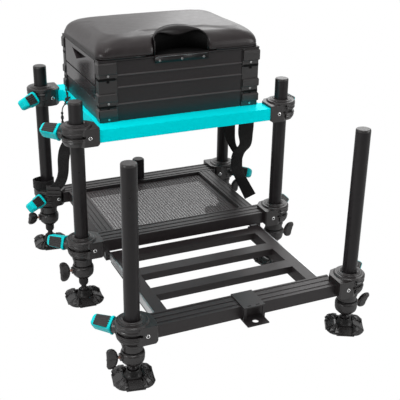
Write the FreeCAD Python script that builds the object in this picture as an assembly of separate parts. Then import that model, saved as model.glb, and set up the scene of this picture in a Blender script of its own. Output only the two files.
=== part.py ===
# Fishing seat box on a telescopic leg frame with a slide-out footplate.
# Millimetres. X is the width, Y runs from the footplate (negative) to the back, Z is up from the ground.
import FreeCAD, Part
import math
import os

V = FreeCAD.Vector
UP = V(0, 0, 1)

# Fits
RUNNING_FIT = 0.06
SOCKET_FIT = 0.15
SOFT_GAP = 0.3
SLIDE_GAP = 1.1
DRAWER_GAP = 0.6

# Telescopic legs
TUBE_RADIUS = 18.0
TUBE_WALL = 2.0
LEG_SPACING_X = 572.8
LEG_SPACING_Y = 353.0
FOOTPLATE_REACH = 388.0
FRAME_LEG_TOP = 553.0
FOOTPLATE_LEG_TOP = 535.5
CAP_HEIGHT = 6.0
CAP_SPIGOT = 12.0
CAP_EDGE = 3.0

# Adjuster collars, heights measured from the middle of their flange
FRAME_FLANGE_HEIGHT = 87.5
FOOTPLATE_FLANGE_HEIGHT = 63.0
FLANGE_RADIUS = 28.0
FLANGE_THICKNESS = 5.0
SLEEVE_RADIUS = 24.5
SLEEVE_TOP = 42.0
SLEEVE_SEAT = 10.0
NOSE_RADIUS = 15.5
NOSE_DEPTH = 19.5
COLLAR_BOSS_RADIUS = 9.5
COLLAR_BOSS_REACH = 31.0
WING_ABOVE_FLANGE = 4.0

# Inner legs
INNER_RADIUS = 12.5
INNER_WALL = 2.0
INNER_BOTTOM = 50.0
INNER_LENGTH = 375.0
PLUG_HEIGHT = 22.0
END_COLLAR_HEIGHT = 4.0
NECK_RADIUS = 7.0
BALL_RADIUS = 11.0
BALL_HEIGHT = 28.0

# Mud feet
FOOT_RADIUS = 51.5
FOOT_LOBES = 4
FOOT_TURN = 26.0
LOBE_ANGLE = 58.0
LOBE_CROWN_ANGLE = 38.0
LOBE_SHOULDER = 20.0
LOBE_TOP = 31.0
SCOOP_TOP = 14.0
SCOOP_REACH = 20.0
HUB_BASE_RADIUS = 30.0
HUB_TOP_RADIUS = 16.0
HUB_TOP = 36.0
FOOT_PLATE = 5.0
HUB_SHOULDER = 13.0
SOCKET_MOUTH_RADIUS = 13.2

# Wing screws of the adjuster collars
WING_HEIGHT = 49.0
WING_LENGTH = 27.0
WING_THICKNESS = 6.0
WING_HUB_RADIUS = 7.5
WING_STAND_OFF = 1.2
WING_SHANK_RADIUS = 4.0
WING_SHANK_DEPTH = 5.0

# Leg clamps, heights measured from the pinch bolt
CLAMP_TOP = 31.0
CLAMP_BOTTOM = 22.0
CLAMP_RADIUS = 37.0
CLAMP_FLANGE_RADIUS = 39.0
CLAMP_FRONT = 39.3
CLAMP_BACK = 36.0
LUG_REACH = 49.0
LUG_TOP = 24.0
LUG_CORNER = 15.0
SOCKET_DEPTH = 9.6
SLIT_HEIGHT = 7.0
SLIT_DEPTH = 6.0
SLIT_ANGLE = 110.0
BOLT_INSET = 23.9
BOLT_RADIUS = 5.5
BOLT_RECESS = 1.5

# Clamp knobs
KNOB_START = 45.5
KNOB_END = 100.0
KNOB_ABOVE_BOLT = 1.5
KNOB_RING_RADIUS = 21.0
KNOB_RING_WIDTH = 5.0
KNOB_TIP_RADIUS = 17.5
KNOB_FLAT_DEPTH = 3.6
KNOB_FLATS = 4
KNOB_EDGE = 2.5
KNOB_SHANK_RADIUS = 6.0
KNOB_SHANK_DEPTH = 10.0
BOSS_RADIUS = 17.0

# Rails
RAIL_HEIGHT = 32.4
RAIL_DEPTH = 56.0
SIDE_RAIL_WIDTH = 39.5
SIDE_RAIL_OUTER = 229.4
RAIL_WALL = 2.4
FLUTE_DEPTH = 1.2
FLUTE_WIDTH = 7.0
FLUTE_COUNT = 3
SEAT_RAIL_RECESS = 4.5
TRAY_RAIL_RECESS = 15.0
FOOTPLATE_RAIL_RECESS = 22.0
RAIL_TOP_ABOVE_BOLT = 17.0
FOOTPLATE_RAIL_TOP_ABOVE_BOLT = 9.0
FOOTPLATE_TOP = 140.0
SEAT_RAIL_TOP = 482.5

# Tray floor and accessory post
FLOOR_THICKNESS = 2.0
FLOOR_BELOW_TOP = 9.0
FLOOR_LEDGE = 6.0
POST_RISE = 54.0
POST_CAP = 7.0
POST_Y = 176.0

# Footplate
SIDE_MEMBER_OUTER = 217.5
SIDE_MEMBER_WIDTH = 30.5
FRAME_BACK_GAP = 4.0
SLAT_THICKNESS = 18.5
SLAT_WIDTH = 35.5
SLAT_FRONT_LINES = (249.0, 350.5, 455.5)
SLAT_WALL = 1.8
SLIDE_BAR_THICKNESS = 4.5
SLIDE_BAR_HEIGHT = 19.0
SLIDE_BAR_BELOW_TOP = 1.0
SLIDE_BAR_BACK = 25.0
RUNNER_WALL = 5.0
RUNNER_BACK = 32.0

# Front bracket
BRACKET_THICKNESS = 3.0
BRACKET_CENTRE_X = 6.0
BRACKET_WIDTH = 56.0
BRACKET_OVERLAP = 57.0
BRACKET_FRONT = 15.5
BRACKET_TAB_WIDTH = 7.0
BRACKET_FOOT_REACH = 38.5
BRACKET_HOLE_RADIUS = 7.75
BRACKET_HOLE_INSET = 17.0
BRACKET_SLOT_LENGTH = 9.0
BRACKET_SLOT_WIDTH = 3.0

# Seat box
BOX_WIDTH = 436.0
BOX_DEPTH = 320.0
BOX_WALL = 3.0
BOX_FLOOR = 3.0
LOWER_UNIT_HEIGHT = 43.5
MIDDLE_UNIT_HEIGHT = 43.5
UPPER_UNIT_HEIGHT = 67.5
PANEL_STEP = 1.2
PANEL_RIB_HEIGHT = 31.0
CORNER_WIDTH = 48.0
CORNER_RETURN = 24.0
CORNER_PROUD = 3.0
CORNER_NOTCH = 4.0
CORNER_PIN_RISE = 7.0
CORNER_STEP = 1.4
PIN_RADIUS = 3.0
PIN_LENGTH = 4.5
LEVEL_BREAKS = (39.5, 110.0)

# Side drawers
DRAWER_SIDE_MARGIN = 26.0
DRAWER_WALL = 2.0
DRAWER_BACK_GAP = 10.0
DRAWER_FRONT_THICKNESS = 3.0
DRAWER_SIDE_GAP = 4.0
FRONT_EDGE_GAP = 1.6
PULL_WIDTH = 130.0
PULL_HEIGHT = 26.0
PULL_DEPTH = 14.0
PULL_BELOW_TOP = 8.0
PULL_APEX_SHIFT = 27.0

# Lid, hinge and cushion
LID_THICKNESS = 3.7
LID_GAP = 0.4
HINGE_BARREL_RADIUS = 4.0
HINGE_PIN_RADIUS = 1.6
HINGE_LEAF = 2.4
HINGE_LEAF_DROP = 22.0
HINGE_DROP = 12.0
HINGE_KNUCKLES = 5
HINGE_LENGTH = 300.0
KNUCKLE_GAP = 0.4
CUSHION_HEIGHT = 50.9
CUSHION_OVERHANG = 4.0
CUSHION_EDGE_RADIUS = 40.0
CUSHION_PLAN_RADIUS = 26.0
CROWN_RISE = 2.5
POCKET_WIDTH = 147.0
POCKET_DEPTH = 52.0
POCKET_WALL = 2.4
POCKET_RADIUS = 14.0
CUTTER_REACH = 20.0
LIP_RISE = 59.9
LIP_HEIGHT = 17.0
LIP_SHOULDER = 24.0
LIP_DEPTH = 30.0
POCKET_FLANGE_DROP = 21.0
RIVET_RADIUS = 3.6
RIVET_HEIGHT = 1.6
RIVET_SPACING = 60.3
RIVET_BELOW_LID = 12.0

# Webbing straps and cord
STRAP_THICKNESS = 3.0
STRAP_WIDTH = 35.0
PAD_WIDTH = 43.0
STRAP_ACROSS = (0.911, -0.412, 0.0)
CORD_RADIUS = 1.5
TOGGLE_RADIUS = 4.0
TOGGLE_LENGTH = 40.0

# Places that follow from the sizes above
LEG_X = LEG_SPACING_X / 2
LEG_Y = LEG_SPACING_Y / 2
FOOTPLATE_LEG_Y = -LEG_Y - FOOTPLATE_REACH
TUBE_BORE = TUBE_RADIUS - TUBE_WALL
INNER_TOP = INNER_BOTTOM + INNER_LENGTH
TRAY_RAIL_TOP = FOOTPLATE_TOP + SLIDE_GAP + RAIL_HEIGHT
SEAT_BOLT = SEAT_RAIL_TOP - RAIL_TOP_ABOVE_BOLT
TRAY_BOLT = TRAY_RAIL_TOP - RAIL_TOP_ABOVE_BOLT
FOOTPLATE_BOLT = FOOTPLATE_TOP - FOOTPLATE_RAIL_TOP_ABOVE_BOLT
RAIL_END = LEG_X - LUG_REACH + SOCKET_DEPTH
SEAT_RAIL_FACE = LEG_Y + CLAMP_FRONT - SEAT_RAIL_RECESS
TRAY_RAIL_FACE = LEG_Y + CLAMP_FRONT - TRAY_RAIL_RECESS
FOOTPLATE_RAIL_FACE = FOOTPLATE_LEG_Y - CLAMP_FRONT + FOOTPLATE_RAIL_RECESS
FOOTPLATE_RAIL_BACK = FOOTPLATE_RAIL_FACE + RAIL_DEPTH
FRAME_BACK = -TRAY_RAIL_FACE - FRAME_BACK_GAP
LOWER_BASE = SEAT_RAIL_TOP
MIDDLE_BASE = LOWER_BASE + LOWER_UNIT_HEIGHT
UPPER_BASE = MIDDLE_BASE + MIDDLE_UNIT_HEIGHT
BOX_TOP = UPPER_BASE + UPPER_UNIT_HEIGHT
LID_BASE = BOX_TOP + LID_GAP
LID_TOP = LID_BASE + LID_THICKNESS
CUSHION_TOP = LID_TOP + CUSHION_HEIGHT
LIP_TOP = LID_TOP + LIP_RISE
LIP_BOTTOM = LIP_TOP - LIP_HEIGHT
LIP_ENDS = LIP_TOP - LIP_SHOULDER
DRAWER_OPENING = BOX_DEPTH - 2 * DRAWER_SIDE_MARGIN
HINGE_Y = BOX_DEPTH / 2 + HINGE_LEAF + HINGE_BARREL_RADIUS
HINGE_Z = BOX_TOP - HINGE_DROP
BRACKET_TIP = FOOTPLATE_RAIL_FACE - BRACKET_FOOT_REACH
REAR_EXTENT = LEG_Y + FOOT_RADIUS
CENTRE_Y = -(BRACKET_TIP + REAR_EXTENT) / 2

FRAME_LEGS = (
    ("front_left", -1, -1),
    ("front_right", 1, -1),
    ("rear_left", -1, 1),
    ("rear_right", 1, 1),
)
SIDES = (("left", -1), ("right", 1))


def block(x0, x1, y0, y1, z0, z1):
    """A box between two opposite corners."""
    return Part.makeBox(x1 - x0, y1 - y0, z1 - z0, V(x0, y0, z0))


def disc(radius, z0, z1):
    """An upright cylinder on the Z axis."""
    return Part.makeCylinder(radius, z1 - z0, V(0, 0, z0))


def prism(points, axis, start, end):
    """A prism from outline points in the plane across an axis."""
    places = {
        "x": lambda u, v: V(start, u, v),
        "y": lambda u, v: V(u, start, v),
        "z": lambda u, v: V(u, v, start),
    }
    ways = {"x": V(end - start, 0, 0), "y": V(0, end - start, 0), "z": V(0, 0, end - start)}
    corners = [places[axis](u, v) for u, v in points]
    face = Part.Face(Part.makePolygon(corners + corners[:1]))
    return face.extrude(ways[axis])


def turned(profile):
    """A solid of revolution about the Z axis from radius and height pairs."""
    corners = [V(r, 0, z) for r, z in profile]
    face = Part.Face(Part.makePolygon(corners + corners[:1]))
    return face.revolve(V(0, 0, 0), UP, 360)


def moved(shape, x=0.0, y=0.0, z=0.0):
    """A copy moved by an offset."""
    copy = shape.copy()
    copy.translate(V(x, y, z))
    return copy


def mirrored(shape, side_x, side_y=1):
    """A copy mirrored in X where side_x is positive and in Y where side_y is negative."""
    copy = shape
    if side_x > 0:
        copy = copy.mirror(V(0, 0, 0), V(1, 0, 0))
    if side_y < 0:
        copy = copy.mirror(V(0, 0, 0), V(0, 1, 0))
    return copy


def aimed(shape, direction):
    """A copy whose Z axis points along a horizontal direction."""
    copy = shape.copy()
    copy.Placement = FreeCAD.Placement(V(0, 0, 0), FreeCAD.Rotation(UP, direction)).multiply(copy.Placement)
    return copy


def save(name, solids):
    """Write one node, moved so that the whole part stands centred on the origin."""
    shape = solids[0] if len(solids) == 1 else Part.makeCompound(solids)
    moved(shape, y=CENTRE_Y).exportStep("parts/" + name + ".step")


# Leg tubes, caps and adjuster collars

def leg_tube(top, flange):
    bottom = flange + SLEEVE_SEAT
    return disc(TUBE_RADIUS, bottom, top - CAP_HEIGHT).cut(disc(TUBE_BORE, bottom, top - CAP_HEIGHT))


def tube_cap(top, height):
    """A push-in end cap with a rounded rim and a hollow spigot in the tube."""
    rim = TUBE_RADIUS - RUNNING_FIT
    spigot = TUBE_BORE - RUNNING_FIT
    base = top - height
    return turned([
        (0, top),
        (rim - CAP_EDGE, top),
        (rim - CAP_EDGE * 0.3, top - CAP_EDGE * 0.3),
        (rim, top - CAP_EDGE),
        (rim, base),
        (spigot, base),
        (spigot, base - CAP_SPIGOT),
        (spigot - TUBE_WALL, base - CAP_SPIGOT),
        (spigot - TUBE_WALL, base),
        (0, base),
    ])


def adjuster_collar(flange, side):
    """A stepped collar: sleeve for the tube, flange, nose for the inner leg and a boss for the wing screw."""
    seat = SLEEVE_SEAT
    half = FLANGE_THICKNESS / 2
    bore = TUBE_RADIUS + RUNNING_FIT
    nose_bore = INNER_RADIUS + RUNNING_FIT
    body = turned([
        (bore, SLEEVE_TOP),
        (SLEEVE_RADIUS - 2, SLEEVE_TOP),
        (SLEEVE_RADIUS, SLEEVE_TOP - 2),
        (SLEEVE_RADIUS, half),
        (FLANGE_RADIUS, half),
        (FLANGE_RADIUS, -half),
        (SLEEVE_RADIUS - 1, -half),
        (NOSE_RADIUS + 3, -NOSE_DEPTH * 0.6),
        (NOSE_RADIUS, -NOSE_DEPTH),
        (nose_bore, -NOSE_DEPTH),
        (nose_bore, seat),
        (bore, seat),
    ])
    boss = Part.makeCylinder(COLLAR_BOSS_RADIUS, COLLAR_BOSS_REACH - SLEEVE_RADIUS + 4,
                             V(SLEEVE_RADIUS - 4, 0, WING_ABOVE_FLANGE), V(1, 0, 0))
    hole = Part.makeCylinder(WING_SHANK_RADIUS + RUNNING_FIT, WING_SHANK_DEPTH + 1,
                             V(COLLAR_BOSS_REACH - WING_SHANK_DEPTH - 0.5, 0, WING_ABOVE_FLANGE), V(1, 0, 0))
    collar = body.fuse(boss).removeSplitter().cut(hole)
    return moved(mirrored(collar, -side), z=flange)


def inner_leg():
    """A hollow telescopic leg with a guide plug at its top and a ball at its lower end."""
    plug = TUBE_BORE - RUNNING_FIT
    bore = INNER_RADIUS - INNER_WALL
    neck_top = INNER_BOTTOM - END_COLLAR_HEIGHT
    ball_join = math.sqrt(BALL_RADIUS ** 2 - NECK_RADIUS ** 2)
    start = V(0, 0, BALL_HEIGHT - BALL_RADIUS)
    join = V(NECK_RADIUS, 0, BALL_HEIGHT + ball_join)
    side = V(BALL_RADIUS, 0, BALL_HEIGHT)
    steps = [
        (NECK_RADIUS, neck_top),
        (INNER_RADIUS - 1.5, neck_top),
        (INNER_RADIUS - 1.5, INNER_BOTTOM),
        (INNER_RADIUS, INNER_BOTTOM),
        (INNER_RADIUS, INNER_TOP - PLUG_HEIGHT),
        (plug, INNER_TOP - PLUG_HEIGHT),
        (plug, INNER_TOP),
        (bore, INNER_TOP),
        (bore, INNER_BOTTOM + INNER_WALL),
        (0, INNER_BOTTOM + INNER_WALL),
    ]
    corners = [join] + [V(r, 0, z) for r, z in steps] + [start]
    edges = [Part.Arc(start, side, join).toShape()]
    edges += [Part.makeLine(a, b) for a, b in zip(corners, corners[1:])]
    return Part.Face(Part.Wire(edges)).revolve(V(0, 0, 0), UP, 360)


# Mud foot

def mud_foot():
    """A round foot: plate, upturned lobes with flat scoops between them and a hub with a ball socket."""
    socket = BALL_RADIUS + RUNNING_FIT
    hub = turned([
        (0, 0),
        (FOOT_RADIUS - 8, 0),
        (FOOT_RADIUS - 8, FOOT_PLATE),
        (HUB_BASE_RADIUS, FOOT_PLATE + 2),
        (HUB_TOP_RADIUS + 3, HUB_TOP - HUB_SHOULDER),
        (HUB_TOP_RADIUS, HUB_TOP),
        (0, HUB_TOP),
    ])
    mouth_base = BALL_HEIGHT + 4.5
    mouth_radius = math.sqrt(socket ** 2 - 4.5 ** 2)
    mouth = turned([
        (0, mouth_base),
        (mouth_radius, mouth_base),
        (SOCKET_MOUTH_RADIUS, HUB_TOP + 1),
        (0, HUB_TOP + 1),
    ])
    ball_space = Part.makeSphere(socket, V(0, 0, BALL_HEIGHT))
    body = hub.cut(ball_space).cut(mouth)
    lobes = []
    step = 360.0 / FOOT_LOBES
    for index in range(FOOT_LOBES):
        middle = FOOT_TURN + index * step
        lobes.append(foot_sector(lobe_section(LOBE_SHOULDER), LOBE_ANGLE, middle))
        lobes.append(foot_sector(lobe_section(LOBE_TOP), LOBE_CROWN_ANGLE, middle))
        lobes.append(foot_sector(scoop_section(), step - LOBE_ANGLE + 2, middle + step / 2))
    return body.multiFuse(lobes).removeSplitter()


def lobe_section(top):
    """Radius and height pairs of an upturned lobe that bulges outwards below its top."""
    inner = HUB_BASE_RADIUS - 4
    rise = top - FOOT_PLATE
    return [
        (inner, 1),
        (FOOT_RADIUS - 6, 1),
        (FOOT_RADIUS - 1, FOOT_PLATE),
        (FOOT_RADIUS, FOOT_PLATE + rise * 0.3),
        (FOOT_RADIUS - rise * 0.25, top - rise * 0.2),
        (FOOT_RADIUS - rise * 0.42, top),
        (FOOT_RADIUS - rise * 0.6, top),
        (FOOT_RADIUS - rise * 0.8, top - rise * 0.3),
        (inner, FOOT_PLATE + 4),
    ]


def scoop_section():
    """Radius and height pairs of a flat sloping plate between two lobes."""
    inner = HUB_BASE_RADIUS - 6
    return [
        (inner, 1),
        (FOOT_RADIUS - 4, 1),
        (FOOT_RADIUS - 2, FOOT_PLATE - 1),
        (FOOT_RADIUS - SCOOP_REACH, SCOOP_TOP),
        (inner, SCOOP_TOP),
    ]


def foot_sector(section, angle, middle):
    """A section swept round the foot's axis, centred on a bearing from the footplate's side."""
    corners = [V(r, 0, z) for r, z in section]
    face = Part.Face(Part.makePolygon(corners + corners[:1]))
    sector = face.revolve(V(0, 0, 0), UP, angle)
    sector.rotate(V(0, 0, 0), UP, middle - angle / 2)
    return sector


# Wing screw, built with its axis along +X from the collar's boss

def wing_screw():
    start = COLLAR_BOSS_REACH + WING_STAND_OFF
    end = start + WING_LENGTH
    half = WING_HEIGHT / 2
    tip = V(end, 0, half)
    low_tip = V(end, 0, -half)
    root = V(start + 5, 0, half * 0.45)
    low_root = V(start + 5, 0, -half * 0.45)
    outer = Part.Arc(tip, V(end - 1.5, 0, 0), low_tip).toShape()
    upper = Part.Arc(root, V(start + 9, 0, half * 0.86), tip).toShape()
    lower = Part.Arc(low_tip, V(start + 9, 0, -half * 0.86), low_root).toShape()
    leaf = Part.Face(Part.Wire([upper, outer, lower, Part.makeLine(low_root, root)]))
    wing = leaf.extrude(V(0, WING_THICKNESS, 0))
    wing.translate(V(0, -WING_THICKNESS / 2, 0))
    hub = Part.makeCone(WING_HUB_RADIUS, WING_HUB_RADIUS - 2, WING_LENGTH * 0.55, V(start, 0, 0), V(1, 0, 0))
    shank = Part.makeCylinder(WING_SHANK_RADIUS, WING_SHANK_DEPTH + WING_STAND_OFF + 1,
                              V(COLLAR_BOSS_REACH - WING_SHANK_DEPTH, 0, 0), V(1, 0, 0))
    return wing.multiFuse([hub, shank]).removeSplitter()


# Leg clamps, built for the front left corner with the lug towards +X

def knob_direction(side_x, side_y):
    """The clamp knobs point outwards at 45 degrees, towards the middle of each side."""
    return V(side_x, -side_y, 0).normalize()


def leg_clamp(rail_recess, rail_top):
    bore = TUBE_RADIUS + RUNNING_FIT
    step = (CLAMP_FLANGE_RADIUS - 3 - bore) / 3
    body = turned([
        (bore, CLAMP_TOP),
        (bore + step, CLAMP_TOP),
        (bore + step, CLAMP_TOP - 1.5),
        (bore + 2 * step, CLAMP_TOP - 1.5),
        (bore + 2 * step, CLAMP_TOP - 3),
        (CLAMP_FLANGE_RADIUS - 3, CLAMP_TOP - 3),
        (CLAMP_FLANGE_RADIUS, CLAMP_TOP - 6),
        (CLAMP_FLANGE_RADIUS, LUG_TOP - 2),
        (CLAMP_RADIUS - 1.5, LUG_TOP - 5),
        (CLAMP_RADIUS, LUG_TOP - 7.5),
        (CLAMP_RADIUS, -3),
        (CLAMP_RADIUS - 2, -6),
        (CLAMP_RADIUS - 2, 7 - CLAMP_BOTTOM),
        (CLAMP_RADIUS - 5, -CLAMP_BOTTOM),
        (bore, -CLAMP_BOTTOM),
    ])
    lug = prism([
        (0, -CLAMP_FRONT),
        (LUG_REACH - 3, -CLAMP_FRONT),
        (LUG_REACH, -CLAMP_FRONT + 3),
        (LUG_REACH, CLAMP_BACK - LUG_CORNER - 6),
        (LUG_REACH - LUG_CORNER, CLAMP_BACK - 3),
        (LUG_REACH - LUG_CORNER - 14, CLAMP_BACK),
        (0, CLAMP_BACK),
    ], "z", -CLAMP_BOTTOM, LUG_TOP)
    underside = prism([
        (LUG_REACH - 8, -CLAMP_BOTTOM - 1),
        (LUG_REACH + 1, -CLAMP_BOTTOM - 1),
        (LUG_REACH + 1, -CLAMP_BOTTOM + 7),
    ], "y", -CLAMP_FRONT - 1, CLAMP_BACK + 1)
    front_round = prism([
        (-1, -CLAMP_FRONT - 1),
        (11, -CLAMP_FRONT - 1),
        (-1, -CLAMP_FRONT + 7),
    ], "z", -CLAMP_BOTTOM - 1, LUG_TOP + 1)
    reach = knob_direction(-1, -1)
    boss = moved(aimed(disc(BOSS_RADIUS, CLAMP_RADIUS - 8, KNOB_START - 0.5), reach), z=KNOB_ABOVE_BOLT)
    socket_x = LUG_REACH - SOCKET_DEPTH
    rail = block(socket_x, LUG_REACH + 1,
                 -CLAMP_FRONT + rail_recess - SOCKET_FIT, -CLAMP_FRONT + rail_recess + RAIL_DEPTH + SOCKET_FIT,
                 rail_top - RAIL_HEIGHT - SOCKET_FIT, rail_top + SOCKET_FIT)
    slit_ring = Part.makeCylinder(CLAMP_RADIUS + 4, SLIT_HEIGHT, V(0, 0, 0), UP, SLIT_ANGLE)
    slit = slit_ring.cut(disc(CLAMP_RADIUS - SLIT_DEPTH, -1, SLIT_HEIGHT + 1))
    slit.rotate(V(0, 0, 0), UP, 270 - SLIT_ANGLE * 0.8)
    bolt_hole = Part.makeCylinder(BOLT_RADIUS, BOLT_RECESS + 1, V(BOLT_INSET, -CLAMP_FRONT - 1, 0), V(0, 1, 0))
    knob_hole = moved(aimed(disc(KNOB_SHANK_RADIUS + RUNNING_FIT, KNOB_START - KNOB_SHANK_DEPTH - 1, KNOB_START + 1),
                            reach), z=KNOB_ABOVE_BOLT)
    solid = body.fuse(lug.cut(underside).cut(front_round)).fuse(boss)
    solid = solid.cut(disc(bore, -CLAMP_BOTTOM - 1, CLAMP_TOP + 1))
    return solid.cut(rail).cut(slit).cut(bolt_hole).cut(knob_hole).removeSplitter()


def clamp_knob():
    """A tapered grip on a shank, with flat pads between rounded ridges, along +Z from the leg axis."""
    grip_start = KNOB_START + KNOB_RING_WIDTH
    body = turned([
        (0, KNOB_START),
        (KNOB_RING_RADIUS - 1, KNOB_START),
        (KNOB_RING_RADIUS, KNOB_START + 1),
        (KNOB_RING_RADIUS, grip_start - 1),
        (KNOB_RING_RADIUS - 1, grip_start),
        (KNOB_TIP_RADIUS, KNOB_END - KNOB_EDGE),
        (KNOB_TIP_RADIUS - KNOB_EDGE, KNOB_END),
        (0, KNOB_END),
    ])
    shank = disc(KNOB_SHANK_RADIUS, KNOB_START - KNOB_SHANK_DEPTH, KNOB_START + 1)
    near = KNOB_RING_RADIUS - KNOB_FLAT_DEPTH
    far = KNOB_TIP_RADIUS - KNOB_FLAT_DEPTH
    pad = prism([
        (near, grip_start),
        (near + 12, grip_start),
        (near + 12, KNOB_END - 3),
        (far, KNOB_END - 3),
    ], "y", -KNOB_RING_RADIUS * 0.6, KNOB_RING_RADIUS * 0.6)
    knob = body.fuse(shank)
    for index in range(KNOB_FLATS):
        cutter = pad.copy()
        cutter.rotate(V(0, 0, 0), UP, 45 + index * 360.0 / KNOB_FLATS)
        knob = knob.cut(cutter)
    return knob.removeSplitter()


# Rails

def hollow_rail(along, depth, flutes):
    """A hollow extrusion along +X from the origin, its top fluted when asked."""
    outer = block(0, along, 0, depth, -RAIL_HEIGHT, 0)
    bore = block(-1, along + 1, RAIL_WALL, depth - RAIL_WALL, RAIL_WALL - RAIL_HEIGHT, -RAIL_WALL - flutes * FLUTE_DEPTH)
    rail = outer.cut(bore)
    if flutes:
        pitch = depth / FLUTE_COUNT
        for index in range(FLUTE_COUNT):
            middle = (index + 0.5) * pitch
            groove = block(-1, along + 1, middle - FLUTE_WIDTH / 2, middle + FLUTE_WIDTH / 2, -FLUTE_DEPTH, 1)
            rail = rail.cut(groove)
    return rail


def cross_rail(face_y, way, top, flutes):
    """A rail across the seat box, its outer face at face_y and its body towards the middle."""
    rail = hollow_rail(2 * RAIL_END, RAIL_DEPTH, flutes)
    start = face_y if way > 0 else face_y - RAIL_DEPTH
    return moved(rail, -RAIL_END, start, top)


def side_rail(side, front, back, top, flutes):
    rail = hollow_rail(back - front, SIDE_RAIL_WIDTH, flutes)
    rail.rotate(V(0, 0, 0), UP, 90)
    outer = side * SIDE_RAIL_OUTER
    shift = outer if side > 0 else outer + SIDE_RAIL_WIDTH
    return moved(rail, shift, front, top)


def rail_frame(face, top, flutes):
    inner = face - RAIL_DEPTH
    rails = [cross_rail(-face, 1, top, flutes), cross_rail(face, -1, top, flutes)]
    rails += [side_rail(side, -inner, inner, top, flutes) for name, side in SIDES]
    return rails


def tray_floor():
    """A perforated floor sheet folded up at its rim and resting in the tray's rails."""
    half_x = SIDE_RAIL_OUTER - SIDE_RAIL_WIDTH
    half_y = TRAY_RAIL_FACE - RAIL_DEPTH
    level = TRAY_RAIL_TOP - FLOOR_BELOW_TOP
    pan = block(-half_x, half_x, -half_y, half_y, level - FLOOR_THICKNESS, level + FLOOR_LEDGE)
    hollow = block(-half_x + FLOOR_THICKNESS, half_x - FLOOR_THICKNESS,
                   -half_y + FLOOR_THICKNESS, half_y - FLOOR_THICKNESS, level, level + FLOOR_LEDGE + 1)
    return pan.cut(hollow)


def runner(side):
    """A guide under a tray side rail that carries the footplate's slide bar on its lip."""
    outer = SIDE_RAIL_OUTER
    bar_face = SIDE_MEMBER_OUTER + SLIDE_BAR_THICKNESS + SOFT_GAP
    top = TRAY_RAIL_TOP - RAIL_HEIGHT
    bar_bottom = FOOTPLATE_TOP - SLIDE_BAR_BELOW_TOP - SLIDE_BAR_HEIGHT
    lip_top = bar_bottom - SOFT_GAP
    lip_inner = SIDE_MEMBER_OUTER + SOFT_GAP
    outline = [
        (outer, top),
        (bar_face, top),
        (bar_face, lip_top),
        (lip_inner, lip_top),
        (lip_inner, lip_top - RUNNER_WALL),
        (outer, lip_top - RUNNER_WALL),
    ]
    return prism([(side * x, z) for x, z in outline], "y", -TRAY_RAIL_FACE, -RUNNER_BACK)


def accessory_post():
    base = TRAY_RAIL_TOP
    top = base + POST_RISE + POST_CAP
    body = disc(TUBE_RADIUS, base, top - CAP_EDGE)
    cap = Part.makeCone(TUBE_RADIUS, TUBE_RADIUS - CAP_EDGE, CAP_EDGE, V(0, 0, top - CAP_EDGE), UP)
    seam = disc(TUBE_RADIUS + 1, top - POST_CAP - 0.6, top - POST_CAP).cut(disc(TUBE_RADIUS - 0.8, 0, top))
    return moved(body.fuse(cap).removeSplitter().cut(seam), y=POST_Y)


# Footplate

def side_member(side):
    inner = SIDE_MEMBER_OUTER - SIDE_MEMBER_WIDTH
    bottom = FOOTPLATE_TOP - RAIL_HEIGHT
    outer_box = block(inner, SIDE_MEMBER_OUTER, FOOTPLATE_RAIL_BACK, FRAME_BACK, bottom, FOOTPLATE_TOP)
    bore = block(inner + RAIL_WALL, SIDE_MEMBER_OUTER - RAIL_WALL, FOOTPLATE_RAIL_BACK - 1, FRAME_BACK + 1,
                 bottom + RAIL_WALL, FOOTPLATE_TOP - RAIL_WALL)
    return mirrored(outer_box.cut(bore), -side)


def slat(front):
    """A hollow cross slat between the side members, its front edge given from the frame's middle."""
    half = SIDE_MEMBER_OUTER - SIDE_MEMBER_WIDTH
    bottom = FOOTPLATE_TOP - SLAT_THICKNESS
    outer = block(-half, half, -front, -front + SLAT_WIDTH, bottom, FOOTPLATE_TOP)
    bore = block(-half - 1, half + 1, -front + SLAT_WALL, -front + SLAT_WIDTH - SLAT_WALL,
                 bottom + SLAT_WALL, FOOTPLATE_TOP - SLAT_WALL)
    return outer.cut(bore)


def slide_bar(side):
    top = FOOTPLATE_TOP - SLIDE_BAR_BELOW_TOP
    bar = block(SIDE_MEMBER_OUTER, SIDE_MEMBER_OUTER + SLIDE_BAR_THICKNESS,
                FOOTPLATE_RAIL_BACK, -SLIDE_BAR_BACK, top - SLIDE_BAR_HEIGHT, top)
    return mirrored(bar, -side)


def front_bracket():
    """A bent sheet bracket: top plate on the rail, two narrow folds and a lower plate with a round hole."""
    half = BRACKET_WIDTH / 2
    rail_face = FOOTPLATE_RAIL_FACE
    fold = rail_face - BRACKET_FRONT
    top = FOOTPLATE_TOP
    low = FOOTPLATE_TOP - RAIL_HEIGHT
    plate = block(-half, half, fold, fold + BRACKET_OVERLAP + BRACKET_FRONT, top, top + BRACKET_THICKNESS)
    pieces = [block(-half, half, rail_face - BRACKET_FOOT_REACH, rail_face + 8, low - BRACKET_THICKNESS, low)]
    for side in (-1, 1):
        inner = half - BRACKET_TAB_WIDTH
        tab = block(inner, half, fold, fold + BRACKET_THICKNESS, low - BRACKET_THICKNESS, top + BRACKET_THICKNESS)
        pieces.append(mirrored(tab, -side))
    bracket = plate.multiFuse(pieces)
    hole_y = rail_face - BRACKET_FOOT_REACH + BRACKET_HOLE_INSET
    bracket = bracket.cut(Part.makeCylinder(BRACKET_HOLE_RADIUS, 3 * BRACKET_THICKNESS,
                                            V(0, hole_y, low - 2 * BRACKET_THICKNESS)))
    for side in (-1, 1):
        slot = block(-BRACKET_SLOT_LENGTH / 2, BRACKET_SLOT_LENGTH / 2, fold + 5, fold + 5 + BRACKET_SLOT_WIDTH,
                     top - 1, top + BRACKET_THICKNESS + 1)
        bracket = bracket.cut(moved(slot, side * BRACKET_WIDTH / 5))
    return moved(bracket.removeSplitter(), BRACKET_CENTRE_X)


# Seat box

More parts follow.
